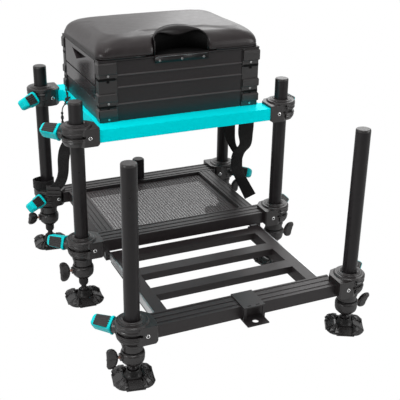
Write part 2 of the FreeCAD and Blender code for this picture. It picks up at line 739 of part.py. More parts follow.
def panel_shell(base, height):
    """An open-topped unit with a stepped front and back."""
    half_x = BOX_WIDTH / 2
    half_y = BOX_DEPTH / 2
    step = PANEL_STEP
    outline = [
        (-half_y, base),
        (half_y, base),
        (half_y, base + height - step),
        (half_y - step, base + height),
        (-half_y + step, base + height),
        (-half_y, base + height - step),
    ]
    outer = prism(outline, "x", -half_x, half_x)
    hollow = block(-half_x + BOX_WALL, half_x - BOX_WALL, -half_y + BOX_WALL, half_y - BOX_WALL,
                   base + BOX_FLOOR, base + height + 1)
    return outer.cut(hollow)


def drawer_unit(base, height):
    shell = panel_shell(base, height)
    half = DRAWER_OPENING / 2
    opening = block(-BOX_WIDTH / 2 - 1, -BOX_WIDTH / 2 + BOX_WALL + 1, -half, half, base + BOX_FLOOR, base + height + 1)
    return shell.cut(opening)


def upper_unit():
    """The deep unit with a ledge line along its front and the box half of the lid hinge."""
    shell = drawer_unit(UPPER_BASE, UPPER_UNIT_HEIGHT)
    line = UPPER_BASE + PANEL_RIB_HEIGHT
    for side in (-1, 1):
        face = side * BOX_DEPTH / 2
        groove = prism([
            (face - side * PANEL_STEP, line),
            (face + side, line - 1),
            (face + side, line + 1),
        ], "x", -BOX_WIDTH / 2 - 1, BOX_WIDTH / 2 + 1)
        shell = shell.cut(groove)
    return shell


def hinge_spans(owner):
    """The spans of the hinge's knuckles that belong to the box or to the lid."""
    pitch = HINGE_LENGTH / HINGE_KNUCKLES
    spans = []
    for index in range(HINGE_KNUCKLES):
        if index % 2 == (0 if owner == "box" else 1):
            start = -HINGE_LENGTH / 2 + index * pitch
            spans.append((start + KNUCKLE_GAP / 2, start + pitch - KNUCKLE_GAP / 2))
    return spans


def barrel(start, end, radius):
    return Part.makeCylinder(radius, end - start, V(start, HINGE_Y, HINGE_Z), V(1, 0, 0))


def box_hinge():
    """The hinge leaf on the back of the upper unit, with its knuckles and the pin."""
    half = HINGE_LENGTH / 2
    back = BOX_DEPTH / 2
    parts = []
    for start, end in hinge_spans("box"):
        parts.append(barrel(start, end, HINGE_BARREL_RADIUS))
        parts.append(block(start, end, back, HINGE_Y, HINGE_Z - HINGE_BARREL_RADIUS, HINGE_Z - 1))
    leaf = block(-half, half, back, back + HINGE_LEAF, HINGE_Z - HINGE_LEAF_DROP, HINGE_Z - HINGE_BARREL_RADIUS)
    pin = barrel(-half, half, HINGE_PIN_RADIUS)
    return leaf.multiFuse(parts + [pin]).removeSplitter()


def corner_blocks():
    """Moulded corner blocks in three levels round each corner of the box."""
    half_x = BOX_WIDTH / 2
    half_y = BOX_DEPTH / 2
    height = BOX_TOP - LOWER_BASE
    outer = block(half_x - CORNER_WIDTH + CORNER_PROUD, half_x + CORNER_PROUD,
                  half_y - CORNER_RETURN + CORNER_PROUD, half_y + CORNER_PROUD, 0, height)
    post = outer.cut(block(0, half_x, 0, half_y, -1, height + 1))
    edge = prism([
        (half_x + CORNER_PROUD - 3, half_y + CORNER_PROUD + 1),
        (half_x + CORNER_PROUD + 1, half_y + CORNER_PROUD + 1),
        (half_x + CORNER_PROUD + 1, half_y + CORNER_PROUD - 3),
    ], "z", -1, height + 1)
    post = post.cut(edge)
    starts = (0.0,) + LEVEL_BREAKS
    ends = LEVEL_BREAKS + (height,)
    middle = half_x + CORNER_PROUD - CORNER_WIDTH / 2
    face = half_y + CORNER_PROUD
    levels = []
    for index, (start, end) in enumerate(zip(starts, ends)):
        gap = CORNER_NOTCH / 2
        low = start + (gap if index else 0)
        high = end - (gap if index < len(starts) - 1 else 0)
        slab = block(0, half_x + 10, 0, half_y + 10, low, high)
        level = post.common(slab)
        ledge = block(middle - CORNER_WIDTH / 2 - 1, middle + CORNER_WIDTH / 2 + 1, face - CORNER_STEP, face + 1,
                      low + CORNER_PIN_RISE + 2 * PIN_RADIUS + 9, high - CORNER_STEP)
        level = level.cut(ledge)
        pin_hole = Part.makeCylinder(PIN_RADIUS + RUNNING_FIT, CORNER_PROUD + 1,
                                     V(middle, half_y, low + CORNER_PIN_RISE), V(0, 1, 0))
        levels.append(level.cut(pin_hole))
    solids = []
    for side_x in (-1, 1):
        for side_y in (-1, 1):
            for level in levels:
                solids.append(moved(mirrored(level, -side_x, side_y), z=LOWER_BASE))
    return solids


def catch_pins():
    """One bright pin in each level of each corner block."""
    half_x = BOX_WIDTH / 2
    middle = half_x + CORNER_PROUD - CORNER_WIDTH / 2
    starts = (0.0,) + LEVEL_BREAKS
    pins = []
    for side_x in (-1, 1):
        for side_y in (-1, 1):
            for index, start in enumerate(starts):
                low = start + (CORNER_NOTCH / 2 if index else 0)
                pin = Part.makeCylinder(PIN_RADIUS, PIN_LENGTH,
                                        V(middle, BOX_DEPTH / 2, low + CORNER_PIN_RISE + LOWER_BASE), V(0, 1, 0))
                pins.append(mirrored(pin, -side_x, side_y))
    return pins


def side_drawer(base, height, pull):
    """A side drawer on the floor of its unit, its front standing proud on the left side."""
    front_x = -BOX_WIDTH / 2
    half = DRAWER_OPENING / 2
    low = base + BOX_FLOOR + DRAWER_GAP
    high = base + height - DRAWER_GAP
    tray = block(front_x + BOX_WALL, BOX_WIDTH / 2 - BOX_WALL - DRAWER_BACK_GAP,
                 -half + DRAWER_SIDE_GAP, half - DRAWER_SIDE_GAP, low, high - 3)
    hollow = block(front_x + BOX_WALL + 2 * DRAWER_WALL, BOX_WIDTH / 2 - BOX_WALL - DRAWER_BACK_GAP - DRAWER_WALL,
                   -half + DRAWER_SIDE_GAP + DRAWER_WALL, half - DRAWER_SIDE_GAP - DRAWER_WALL,
                   low + DRAWER_WALL, high + 1)
    front = block(front_x - DRAWER_FRONT_THICKNESS, front_x + BOX_WALL + DRAWER_WALL,
                  -half + FRONT_EDGE_GAP, half - FRONT_EDGE_GAP, low, high)
    drawer = tray.cut(hollow).fuse(front)
    if pull:
        drawer = drawer.fuse(pull_pocket(high, PULL_DEPTH + DRAWER_WALL, DRAWER_WALL))
        drawer = drawer.cut(pull_pocket(high, PULL_DEPTH, 0.0))
    else:
        groove = prism([
            (front_x - DRAWER_FRONT_THICKNESS - 1, low - 1),
            (front_x - DRAWER_FRONT_THICKNESS + 3, low - 1),
            (front_x - DRAWER_FRONT_THICKNESS - 1, low + 5),
        ], "y", -half, half)
        drawer = drawer.cut(groove)
    return drawer.removeSplitter()


def pull_pocket(high, depth, wall):
    """The three-cornered finger pull in a drawer front, grown by a wall for its outside."""
    top = high - PULL_BELOW_TOP
    half = PULL_WIDTH / 2
    outline = [
        (-half - wall, top + wall),
        (half + wall, top + wall - 3),
        (PULL_APEX_SHIFT, top - PULL_HEIGHT - wall),
    ]
    face_x = -BOX_WIDTH / 2 - DRAWER_FRONT_THICKNESS
    start = face_x if wall else face_x - 1
    return prism(outline, "x", start, face_x + depth)


# Lid and cushion

def lid_shell():
    """The lid board with its half of the hinge behind it."""
    half_x = BOX_WIDTH / 2 + CORNER_PROUD
    half_y = BOX_DEPTH / 2 + CORNER_PROUD
    board = block(-half_x, half_x, -half_y, half_y, LID_BASE, LID_TOP)
    parts = []
    for start, end in hinge_spans("lid"):
        parts.append(barrel(start, end, HINGE_BARREL_RADIUS))
        parts.append(block(start, end, half_y - 2, HINGE_Y + HINGE_BARREL_RADIUS, LID_BASE, LID_TOP))
        parts.append(block(start, end, HINGE_Y + HINGE_BARREL_RADIUS - HINGE_LEAF, HINGE_Y + HINGE_BARREL_RADIUS,
                           HINGE_Z, LID_TOP))
    lid = board.multiFuse(parts).removeSplitter()
    half = HINGE_LENGTH / 2
    return lid.cut(barrel(-half, half, HINGE_PIN_RADIUS + RUNNING_FIT))


def rounded_outline(half_x, half_y, radius, z):
    """A closed wire of lines and quarter arcs."""
    edges = []
    turn = radius * (1 - math.sqrt(0.5))
    corners = ((1, 1), (-1, 1), (-1, -1), (1, -1))
    places = []
    for sx, sy in corners:
        a = V(sx * half_x, sy * (half_y - radius), z)
        b = V(sx * (half_x - turn), sy * (half_y - turn), z)
        c = V(sx * (half_x - radius), sy * half_y, z)
        places.append((a, b, c) if sx * sy > 0 else (c, b, a))
    for index, (a, b, c) in enumerate(places):
        edges.append(Part.Arc(a, b, c).toShape())
        edges.append(Part.makeLine(c, places[(index + 1) % 4][0]))
    return Part.Wire(edges)


def seat_cushion():
    """The padded cushion: drawn-in base, bulging sides, rounded shoulder and a slight crown."""
    half_x = BOX_WIDTH / 2 + CUSHION_OVERHANG
    half_y = BOX_DEPTH / 2 + CUSHION_OVERHANG
    base = LID_TOP + SOFT_GAP
    rise = CUSHION_TOP - base
    edge = CUSHION_EDGE_RADIUS
    plan = CUSHION_PLAN_RADIUS
    sections = [(3.0, 0.0, 0.0), (0.0, 7.0, 0.0)]
    for angle in (0.0, 22.5, 45.0, 67.5, 90.0):
        turn = math.radians(angle)
        inset = edge * (1 - math.cos(turn))
        height = rise - CROWN_RISE - edge + edge * math.sin(turn)
        sections.append((inset, height, inset * 0.7))
    sections.append((edge * 2.2, rise - CROWN_RISE * 0.25, edge * 0.9))
    sections.append((edge * 3.2, rise, edge * 0.9))
    wires = []
    for inset, height, growth in sections:
        wires.append(rounded_outline(half_x - inset, half_y - inset, plan + growth, base + height))
    solid = Part.makeLoft(wires, True, True)
    return solid.cut(pocket_space(SOFT_GAP, LID_TOP - 1, CUSHION_TOP + CUTTER_REACH))


def pocket_space(grow, low, high):
    """The hand pocket's outside, open at the front, grown by a gap."""
    half = POCKET_WIDTH / 2 + grow
    front = -BOX_DEPTH / 2 - CORNER_PROUD - 12
    back = -BOX_DEPTH / 2 + POCKET_DEPTH + grow
    corner = POCKET_RADIUS
    shape = block(-half, half, front, back, low, high)
    edges = []
    for edge in shape.Edges:
        a, b = edge.Vertexes[0].Point, edge.Vertexes[-1].Point
        if abs(a.x - b.x) < 1e-6 and abs(a.y - b.y) < 1e-6 and abs(a.y - back) < 1e-6:
            edges.append(edge)
    return shape.makeFillet(corner, edges)


def arched_face(low_ends, low_middle, high_middle, half, y):
    """A crescent face across the pocket: an arched top and a hanging lower edge."""
    left_low = V(-half, y, low_ends)
    right_low = V(half, y, low_ends)
    left_high = V(-half, y, low_ends + 4)
    right_high = V(half, y, low_ends + 4)
    top = Part.Arc(left_high, V(0, y, high_middle), right_high).toShape()
    bottom = Part.Arc(right_low, V(0, y, low_middle), left_low).toShape()
    left = Part.makeLine(left_low, left_high)
    right = Part.makeLine(right_high, right_low)
    return Part.Wire([left, top, right, bottom])


def handle_pocket():
    """The moulded hand pocket: liner, arched grip lip over it and the flange riveted to the lid's front."""
    outside = pocket_space(0.0, LID_TOP + SOFT_GAP, LIP_ENDS + 4)
    half = POCKET_WIDTH / 2
    front = -BOX_DEPTH / 2 - CORNER_PROUD
    back = -BOX_DEPTH / 2 + POCKET_DEPTH
    inside = pocket_space(-POCKET_WALL, LID_TOP + SOFT_GAP + POCKET_WALL, LIP_ENDS + 10)
    nose = block(-half - 1, half + 1, front - CUTTER_REACH, front - 1.5, LID_TOP - 1, LIP_ENDS + 10)
    liner = outside.cut(inside).cut(nose)
    rear = arched_face(LIP_ENDS, LIP_BOTTOM, LIP_TOP, half - 1, back - 0.2)
    near = arched_face(LIP_ENDS, LIP_BOTTOM - 4, LIP_TOP - 6, half - 1, back - LIP_DEPTH)
    lip = Part.makeLoft([rear, near], True, True).common(pocket_space(0.0, LID_TOP, CUSHION_TOP + CUTTER_REACH))
    flange_top = LID_TOP + SOFT_GAP + POCKET_WALL
    flange = block(-half, half, front - 2.7, front - 0.5, flange_top - POCKET_FLANGE_DROP - POCKET_WALL, flange_top)
    return liner.multiFuse([lip, flange]).removeSplitter()


def handle_rivets():
    face = -BOX_DEPTH / 2 - CORNER_PROUD - 2.7
    level = LID_TOP - RIVET_BELOW_LID
    rivets = []
    for index in (-1, 0, 1):
        head = Part.makeCone(RIVET_RADIUS, RIVET_RADIUS * 0.6, RIVET_HEIGHT, V(index * RIVET_SPACING, face, level),
                             V(0, -1, 0))
        rivets.append(head)
    return rivets


# Webbing straps and the cord with its toggle

def ribbon(stations):
    """Webbing lofted through flat sections that share a width direction, each with a middle and a width."""
    wires = []
    count = len(stations)
    for index, (middle, width) in enumerate(stations):
        before = V(*stations[max(index - 1, 0)][0])
        after = V(*stations[min(index + 1, count - 1)][0])
        along = (after - before).normalize()
        wide = V(*STRAP_ACROSS)
        wide = (wide - along * wide.dot(along)).normalize()
        thick = along.cross(wide).normalize() * (STRAP_THICKNESS / 2)
        centre = V(*middle)
        reach = wide * (width / 2)
        corners = [centre - reach - thick, centre + reach - thick, centre + reach + thick, centre - reach + thick]
        wires.append(Part.makePolygon(corners + corners[:1]))
    return Part.makeLoft(wires, True, True)


def carry_straps():
    rail_bottom = SEAT_RAIL_TOP - RAIL_HEIGHT
    top = rail_bottom + STRAP_THICKNESS * 2
    trimmed = block(-LEG_X, LEG_X, -LEG_Y, LEG_Y, rail_bottom - SOFT_GAP, rail_bottom + RAIL_HEIGHT)
    left = ribbon([
        ((-222.0, -30.0, top), STRAP_WIDTH),
        ((-252.0, -14.0, 400.0), STRAP_WIDTH),
        ((-269.0, 2.0, 366.0), STRAP_WIDTH),
        ((-270.0, 30.0, 326.0), STRAP_WIDTH),
        ((-264.0, 60.0, 274.0), STRAP_WIDTH),
        ((-268.0, 92.0, 228.0), STRAP_WIDTH),
        ((-276.0, 116.0, 205.0), STRAP_WIDTH),
    ])
    right_rear = ribbon([
        ((222.0, 14.0, top), STRAP_WIDTH),
        ((230.0, 24.0, 400.0), STRAP_WIDTH),
        ((236.0, 31.0, 353.0), STRAP_WIDTH),
        ((245.0, 38.0, 313.0), STRAP_WIDTH * 0.8),
        ((257.0, 41.0, 284.0), STRAP_WIDTH * 0.6),
        ((268.5, 31.5, 265.0), STRAP_WIDTH * 0.6),
    ])
    right_front = ribbon([
        ((222.0, -80.0, top), PAD_WIDTH),
        ((240.0, -68.0, 405.0), PAD_WIDTH),
        ((250.0, -48.0, 360.0), PAD_WIDTH),
        ((266.0, -18.0, 311.0), STRAP_WIDTH),
        ((266.0, 20.0, 273.5), STRAP_WIDTH),
        ((268.0, 38.0, 246.0), STRAP_WIDTH),
        ((283.0, 64.0, 203.0), STRAP_WIDTH),
        ((314.0, 103.0, 156.0), STRAP_WIDTH),
        ((324.0, 104.0, 137.0), STRAP_WIDTH),
        ((337.0, 92.0, 107.0), STRAP_WIDTH),
        ((345.0, 84.0, 88.0), STRAP_WIDTH),
    ])
    return [strap.cut(trimmed) for strap in (left, right_rear, right_front)]


def cord_path(points):
    """Straight runs joined by tangent arcs; prints each arc's radius."""
    edges = []
    here = points[0]
    for before, corner, after in zip(points, points[1:], points[2:]):
        into = (corner - before).normalize()
        out = (after - corner).normalize()
        turn = into.getAngle(out)
        run = min((corner - before).Length, (after - corner).Length)
        trim = 0.45 * run
        radius = trim / math.tan(turn / 2)
        start = corner - into * trim
        end = corner + out * trim
        inward = (out - into).normalize()
        middle = corner + inward * (radius / math.cos(turn / 2) - radius)
        edges.append(Part.makeLine(here, start))
        edges.append(Part.Arc(start, middle, end).toShape())
        print("cord arc radius", round(radius, 1))
        here = end
    edges.append(Part.makeLine(here, points[-1]))
    return Part.Wire(edges)


CORD_POINTS = (
    (-SIDE_RAIL_OUTER - SOFT_GAP, 92.0, 462.0),
    (-240.0, 92.5, 461.0),
    (-246.5, 94.0, 454.0),
    (-249.5, 95.5, 444.0),
    (-250.0, 96.0, 434.0),
)


def rail_cord():
    points = [V(*place) for place in CORD_POINTS]
    path = cord_path(points)
    first = (points[1] - points[0]).normalize()
    ring = Part.Wire(Part.makeCircle(CORD_RADIUS, points[0], first))
    tube = path.makePipeShell([ring], True, False)
    print("cord volume", round(tube.Volume, 1), "section x length", round(math.pi * CORD_RADIUS ** 2 * path.Length, 1))
    return tube


def cord_toggle():
    """A spindle toggle on the end of the cord."""
    end = V(*CORD_POINTS[-1])
    along = (end - V(*CORD_POINTS[-2])).normalize()
    half = TOGGLE_LENGTH / 2
    spindle = turned([
        (0, 0),
        (CORD_RADIUS + 0.8, 0),
        (TOGGLE_RADIUS, half - 4),
        (TOGGLE_RADIUS, half + 4),
        (CORD_RADIUS + 0.8, TOGGLE_LENGTH),
        (0, TOGGLE_LENGTH),
    ])
    spindle.Placement = FreeCAD.Placement(end, FreeCAD.Rotation(UP, along))
    return spindle


def main():
    os.makedirs("parts", exist_ok=True)

    tubes, caps, collars = [], [], []
    for name, sx, sy in FRAME_LEGS:
        x, y = sx * LEG_X, sy * LEG_Y
        tubes.append(moved(leg_tube(FRAME_LEG_TOP, FRAME_FLANGE_HEIGHT), x, y))
        caps.append(moved(tube_cap(FRAME_LEG_TOP, CAP_HEIGHT), x, y))
        collars.append(moved(adjuster_collar(FRAME_FLANGE_HEIGHT, sx), x, y))
    save("frame_leg_tubes", tubes)
    save("frame_leg_caps", caps)
    save("frame_leg_collars", collars)

    leg = inner_leg()
    foot = mud_foot()
    wing = wing_screw()
    knob = clamp_knob()
    places = [(name, sx, sx * LEG_X, sy * LEG_Y, FRAME_FLANGE_HEIGHT) for name, sx, sy in FRAME_LEGS]
    places += [("footplate_" + name, sx, sx * LEG_X, FOOTPLATE_LEG_Y, FOOTPLATE_FLANGE_HEIGHT) for name, sx in SIDES]
    for name, sx, x, y, flange in places:
        save("inner_leg_" + name, [moved(leg, x, y)])
        save("mud_foot_" + name, [moved(foot, x, y)])
        save("wing_screw_" + name, [moved(mirrored(wing, -sx), x, y, flange + WING_ABOVE_FLANGE)])

    for group, bolt, recess in (("seat", SEAT_BOLT, SEAT_RAIL_RECESS), ("tray", TRAY_BOLT, TRAY_RAIL_RECESS)):
        clamp = leg_clamp(recess, RAIL_TOP_ABOVE_BOLT)
        clamps = []
        for name, sx, sy in FRAME_LEGS:
            clamps.append(moved(mirrored(clamp, sx, -sy), sx * LEG_X, sy * LEG_Y, bolt))
            grip = aimed(knob, knob_direction(sx, sy))
            save(group + "_knob_" + name, [moved(grip, sx * LEG_X, sy * LEG_Y, bolt + KNOB_ABOVE_BOLT)])
        save(group + "_clamps", clamps)

    save("seat_frame_rails", rail_frame(SEAT_RAIL_FACE, SEAT_RAIL_TOP, 0))
    save("tray_rails", rail_frame(TRAY_RAIL_FACE, TRAY_RAIL_TOP, 1))
    save("tray_mesh_floor", [tray_floor()])
    save("tray_runners", [runner(side) for name, side in SIDES])
    save("accessory_post", [accessory_post()])

    clamp = leg_clamp(FOOTPLATE_RAIL_RECESS, FOOTPLATE_RAIL_TOP_ABOVE_BOLT)
    clamps = []
    for name, sx in SIDES:
        clamps.append(moved(mirrored(clamp, sx), sx * LEG_X, FOOTPLATE_LEG_Y, FOOTPLATE_BOLT))
        grip = aimed(knob, knob_direction(sx, -1))
        save("footplate_knob_" + name, [moved(grip, sx * LEG_X, FOOTPLATE_LEG_Y, FOOTPLATE_BOLT + KNOB_ABOVE_BOLT)])
        tube = leg_tube(FOOTPLATE_LEG_TOP, FOOTPLATE_FLANGE_HEIGHT)
        cap = tube_cap(FOOTPLATE_LEG_TOP, CAP_HEIGHT)
        collar = adjuster_collar(FOOTPLATE_FLANGE_HEIGHT, sx)
        save("footplate_tube_" + name, [moved(tube, sx * LEG_X, FOOTPLATE_LEG_Y)])
        save("footplate_leg_fittings_" + name, [moved(cap, sx * LEG_X, FOOTPLATE_LEG_Y),
                                                moved(collar, sx * LEG_X, FOOTPLATE_LEG_Y)])
    save("footplate_clamps", clamps)
    frame = [side_member(side) for name, side in SIDES]
    frame += [slat(front) for front in SLAT_FRONT_LINES]
    frame.append(cross_rail(FOOTPLATE_RAIL_FACE, 1, FOOTPLATE_TOP, 1))
    save("footplate_frame", frame)
    save("footplate_slide_bars", [slide_bar(side) for name, side in SIDES])
    save("front_bracket", [front_bracket()])

    save("box_lower_unit", [panel_shell(LOWER_BASE, LOWER_UNIT_HEIGHT)])
    save("box_middle_unit", [drawer_unit(MIDDLE_BASE, MIDDLE_UNIT_HEIGHT)])
    save("box_upper_unit", [upper_unit(), box_hinge()])
    save("box_corner_blocks", corner_blocks())
    save("catch_pins", catch_pins())
    save("side_drawer_upper", [side_drawer(UPPER_BASE, UPPER_UNIT_HEIGHT, True)])
    save("side_drawer_lower", [side_drawer(MIDDLE_BASE, MIDDLE_UNIT_HEIGHT, False)])

    save("lid_shell", [lid_shell()])
    save("seat_cushion", [seat_cushion()])
    save("handle_pocket", [handle_pocket()])
    save("handle_rivets", handle_rivets())

    save("carry_straps", carry_straps())
    save("rail_cord", [rail_cord()])
    save("cord_toggle", [cord_toggle()])


main()
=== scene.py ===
"""Fishing seat box on a telescopic leg frame: materials, soft pieces, small fittings, light and camera."""
import math

import bmesh
import bpy
from mathutils import Matrix, Vector


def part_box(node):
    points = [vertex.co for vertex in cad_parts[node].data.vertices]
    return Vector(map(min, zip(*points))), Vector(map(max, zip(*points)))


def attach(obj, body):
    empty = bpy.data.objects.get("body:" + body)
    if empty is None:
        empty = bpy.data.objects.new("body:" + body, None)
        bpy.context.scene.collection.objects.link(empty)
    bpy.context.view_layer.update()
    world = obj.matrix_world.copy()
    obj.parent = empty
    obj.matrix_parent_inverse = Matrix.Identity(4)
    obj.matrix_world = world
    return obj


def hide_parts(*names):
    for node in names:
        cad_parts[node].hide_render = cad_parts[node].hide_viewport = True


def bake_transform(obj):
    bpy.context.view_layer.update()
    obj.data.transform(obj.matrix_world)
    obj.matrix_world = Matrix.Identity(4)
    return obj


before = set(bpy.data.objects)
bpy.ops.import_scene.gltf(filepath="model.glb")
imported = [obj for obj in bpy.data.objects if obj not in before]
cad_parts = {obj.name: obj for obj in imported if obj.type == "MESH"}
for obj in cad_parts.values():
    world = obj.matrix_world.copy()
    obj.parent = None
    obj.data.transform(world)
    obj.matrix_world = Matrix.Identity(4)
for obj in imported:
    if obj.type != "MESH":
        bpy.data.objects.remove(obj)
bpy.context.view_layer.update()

SHIFT = 0.19615  # the row frame's Y less the Y counted from the middle of the four frame legs
LEG_X = 0.2864
LEG_Y = 0.1765
FOOTPLATE_Y = -0.5645
SEAT_BOLT = 0.4655
TRAY_BOLT = 0.1565
FOOTPLATE_BOLT = 0.131
BOX_HALF_X = 0.218
BOX_HALF_Y = 0.160
CORNER_PROUD = 0.003
LID_TOP = 0.6411
CUSHION_TOP = 0.692

CORNERS = (("front_left", -1, -1), ("front_right", 1, -1), ("rear_left", -1, 1), ("rear_right", 1, 1))
SIDES = (("left", -1), ("right", 1))
FRAMES = (("seat", SEAT_BOLT, "seat_frame"), ("tray", TRAY_BOLT, "tray_frame"))
DEPTHS = (("front", -1), ("rear", 1))
SIDE_ENDS = [(f"{end_x}_{end_y}", sx, sy) for end_x, sx in SIDES for end_y, sy in DEPTHS]


def place(x, y, z):
    """A point in the row frame from millimetres counted from the middle of the frame legs."""
    return Vector((x / 1000, y / 1000 + SHIFT, z / 1000))


def leg_point(sx, sy, z):
    return Vector((sx * LEG_X, sy * LEG_Y + SHIFT, z))


def footplate_point(sx, z):
    return Vector((sx * LEG_X, FOOTPLATE_Y + SHIFT, z))


# Materials

COAT_ROUGHNESS = 0.15
ROUGH_SPREAD = 0.06
BROAD_SHARE = 0.12
GRAIN_DEPTH = 0.0004
SHADE_STOPS = (0.3, 0.7)


def set_inputs(node, values):
    for name, value in values.items():
        node.inputs[name].default_value = value


def add_node(tree, kind, values=None, **settings):
    """Adds a shader node with its own settings and the values of its inputs."""
    made = tree.nodes.new("ShaderNode" + kind)
    for name, value in settings.items():
        setattr(made, name, value)
    set_inputs(made, values or {})
    return made


def join(tree, source, output, target, socket):
    tree.links.new(source.outputs[output], target.inputs[socket])


def material(name, colour, rough, metallic=0.0, specular=0.5, coat=0.0, sheen=0.0):
    """A plain principled material."""
    mat = bpy.data.materials.new(name)
    mat.use_nodes = True
    set_inputs(mat.node_tree.nodes["Principled BSDF"], {
        "Base Color": (*colour, 1), "Roughness": rough, "Metallic": metallic, "Specular IOR Level": specular,
        "Coat Weight": coat, "Coat Roughness": COAT_ROUGHNESS, "Sheen Weight": sheen,
    })
    return mat


def grain(mat, colour, rough, scale, mottle, bump, kind, edge):
    """Colour and roughness that vary a little and a fine bump, all in object space."""
    tree = mat.node_tree
    shader = tree.nodes["Principled BSDF"]
    coords = add_node(tree, "TexCoord")
    broad = add_node(tree, "TexNoise", {"Scale": scale * BROAD_SHARE, "Detail": 4})
    join(tree, coords, "Object", broad, "Vector")
    ramp = add_node(tree, "ValToRGB")
    dark = [c * (1 - mottle) for c in colour]
    light = [min(1, c * (1 + mottle) + 0.004 * mottle) for c in colour]
    for element, stop, shade in zip(ramp.color_ramp.elements, SHADE_STOPS, (dark, light)):
        element.position = stop
        element.color = (*shade, 1)
    join(tree, broad, "Fac", ramp, "Fac")
    join(tree, ramp, "Color", shader, "Base Color")
    spread = add_node(tree, "MapRange", {"To Min": rough - ROUGH_SPREAD, "To Max": rough + ROUGH_SPREAD})
    join(tree, broad, "Fac", spread, "Value")
    join(tree, spread, "Result", shader, "Roughness")
    if kind == "leather":
        fine, output = add_node(tree, "TexVoronoi", feature="DISTANCE_TO_EDGE"), "Distance"
    else:
        fine, output = add_node(tree, "TexNoise", {"Detail": 3}), "Fac"
    fine.inputs["Scale"].default_value = scale
    join(tree, coords, "Object", fine, "Vector")
    lift = add_node(tree, "Bump", {"Strength": bump, "Distance": GRAIN_DEPTH})
    join(tree, fine, output, lift, "Height")
    join(tree, lift, "Normal", shader, "Normal")
    if edge:
        rounded = add_node(tree, "Bevel", {"Radius": edge}, samples=4)
        join(tree, rounded, "Normal", lift, "Normal")
    return mat


def finish(name, colour, rough, scale, mottle, bump, kind="noise", edge=0.0, **more):
    return grain(material(name, colour, rough, **more), colour, rough, scale, mottle, bump, kind, edge)


anodised = finish("black_anodised", (0.0135, 0.0105, 0.0111), 0.40, 900, 0.12, 0.20, edge=0.0010)
leg_black = finish("leg_black", (0.0105, 0.0090, 0.0096), 0.30, 700, 0.10, 0.10, specular=0.30)
turquoise = finish("turquoise_paint", (0.0, 0.74, 0.80), 0.36, 500, 0.03, 0.04, specular=0.0, metallic=0.35,
                   edge=0.0014)
bare_metal = finish("bare_aluminium", (0.62, 0.63, 0.64), 0.35, 400, 0.06, 0.08, metallic=1.0)
nylon = finish("black_nylon", (0.0103, 0.0084, 0.0084), 0.31, 1400, 0.15, 0.30, specular=0.72, edge=0.0012)
knob_blue = finish("turquoise_nylon", (0.0, 0.47, 0.49), 0.34, 900, 0.04, 0.08, specular=0.12, edge=0.0010)
pad_black = finish("grip_pad", (0.012, 0.0115, 0.011), 0.48, 1500, 0.2, 0.4, edge=0.0006)
mesh_steel = finish("mesh_grey", (0.0513, 0.0430, 0.0443), 0.45, 900, 0.15, 0.2)
# A lighter copy of the box's black: painted highlight along the panel ledges.
ledge_highlight_black = finish("ledge_highlight_black", (0.030, 0.0262, 0.0270), 0.34, 1200, 0.10, 0.25, specular=0.55,
                     edge=0.0010)
rivet_metal = finish("rivet_metal", (0.20, 0.20, 0.20), 0.42, 600, 0.05, 0.05, metallic=0.8)
pin_metal = finish("pin_metal", (0.42, 0.42, 0.42), 0.34, 600, 0.05, 0.05, metallic=1.0)
box_black = finish("box_black", (0.0112, 0.0088, 0.0093), 0.34, 1200, 0.10, 0.25, specular=0.42, edge=0.0010)
gloss_panel = finish("glossy_panel", (0.0228, 0.0190, 0.0201), 0.14, 300, 0.05, 0.02, specular=0.6, coat=0.5)
zinc = finish("bright_zinc", (0.85, 0.85, 0.85), 0.20, 600, 0.05, 0.05, metallic=1.0)
copper = finish("copper_shank", (0.26, 0.14, 0.11), 0.35, 600, 0.05, 0.05, metallic=1.0)
steel_black = finish("black_steel", (0.0114, 0.0098, 0.0103), 0.36, 900, 0.12, 0.15, edge=0.0008)
vinyl = finish("seat_vinyl", (0.0142, 0.0108, 0.0111), 0.34, 420, 0.10, 0.15, kind="leather", specular=0.50)
moulding = finish("pocket_moulding", (0.0074, 0.0060, 0.0062), 0.38, 900, 0.12, 0.15, specular=0.35,
                  edge=0.0008)
strip_metal = finish("strip_metal", (0.34, 0.345, 0.35), 0.45, 400, 0.04, 0.05, metallic=1.0)
# Near black standing in for shade: painted shade for the pocket's inner walls and floor, the slots at the
# box corners, the collar grooves and the screw sockets.
painted_shade_black = finish("painted_shade_material", (0.0030, 0.0029, 0.0029), 0.75, 900, 0.12, 0.15, specular=0.12)
rubber = finish("foot_rubber", (0.0076, 0.0066, 0.0067), 0.27, 1100, 0.2, 0.25, specular=0.62, edge=0.0010)
# Darker than the foot rubber: painted shade in the cup of the hub.
shaded_hub_rubber = finish("shaded_hub_rubber", (0.0050, 0.0044, 0.0045), 0.40, 1100, 0.2, 0.25, specular=0.35)
cord_black = finish("cord_black", (0.007, 0.007, 0.007), 0.6, 2500, 0.3, 0.8)

WEAVE_BANDS = (("X", 38.0), ("Y", 55.0))
WEAVE_SHADES = ((0.0048, 0.0042, 0.0043, 1), (0.019, 0.0165, 0.017, 1))


def webbing_material():
    """Woven webbing: fine ribs across and along the strap, from its own UV map."""
    mat = material("webbing", (0.010, 0.009, 0.009), 0.75, specular=0.25, sheen=0.06)
    tree = mat.node_tree
    shader = tree.nodes["Principled BSDF"]
    coords = add_node(tree, "TexCoord")
    weave = add_node(tree, "Math", operation="MULTIPLY")
    for index, (axis, scale) in enumerate(WEAVE_BANDS):
        wave = add_node(tree, "TexWave", {"Scale": scale, "Distortion": 0.6}, bands_direction=axis)
        join(tree, coords, "UV", wave, "Vector")
        join(tree, wave, "Fac", weave, index)
    ramp = add_node(tree, "ValToRGB")
    for element, shade in zip(ramp.color_ramp.elements, WEAVE_SHADES):
        element.color = shade
    join(tree, weave, 0, ramp, "Fac")
    join(tree, ramp, "Color", shader, "Base Color")
    lift = add_node(tree, "Bump", {"Strength": 0.7, "Distance": 0.0006})
    join(tree, weave, 0, lift, "Height")
    join(tree, lift, "Normal", shader, "Normal")
    return mat


webbing = webbing_material()

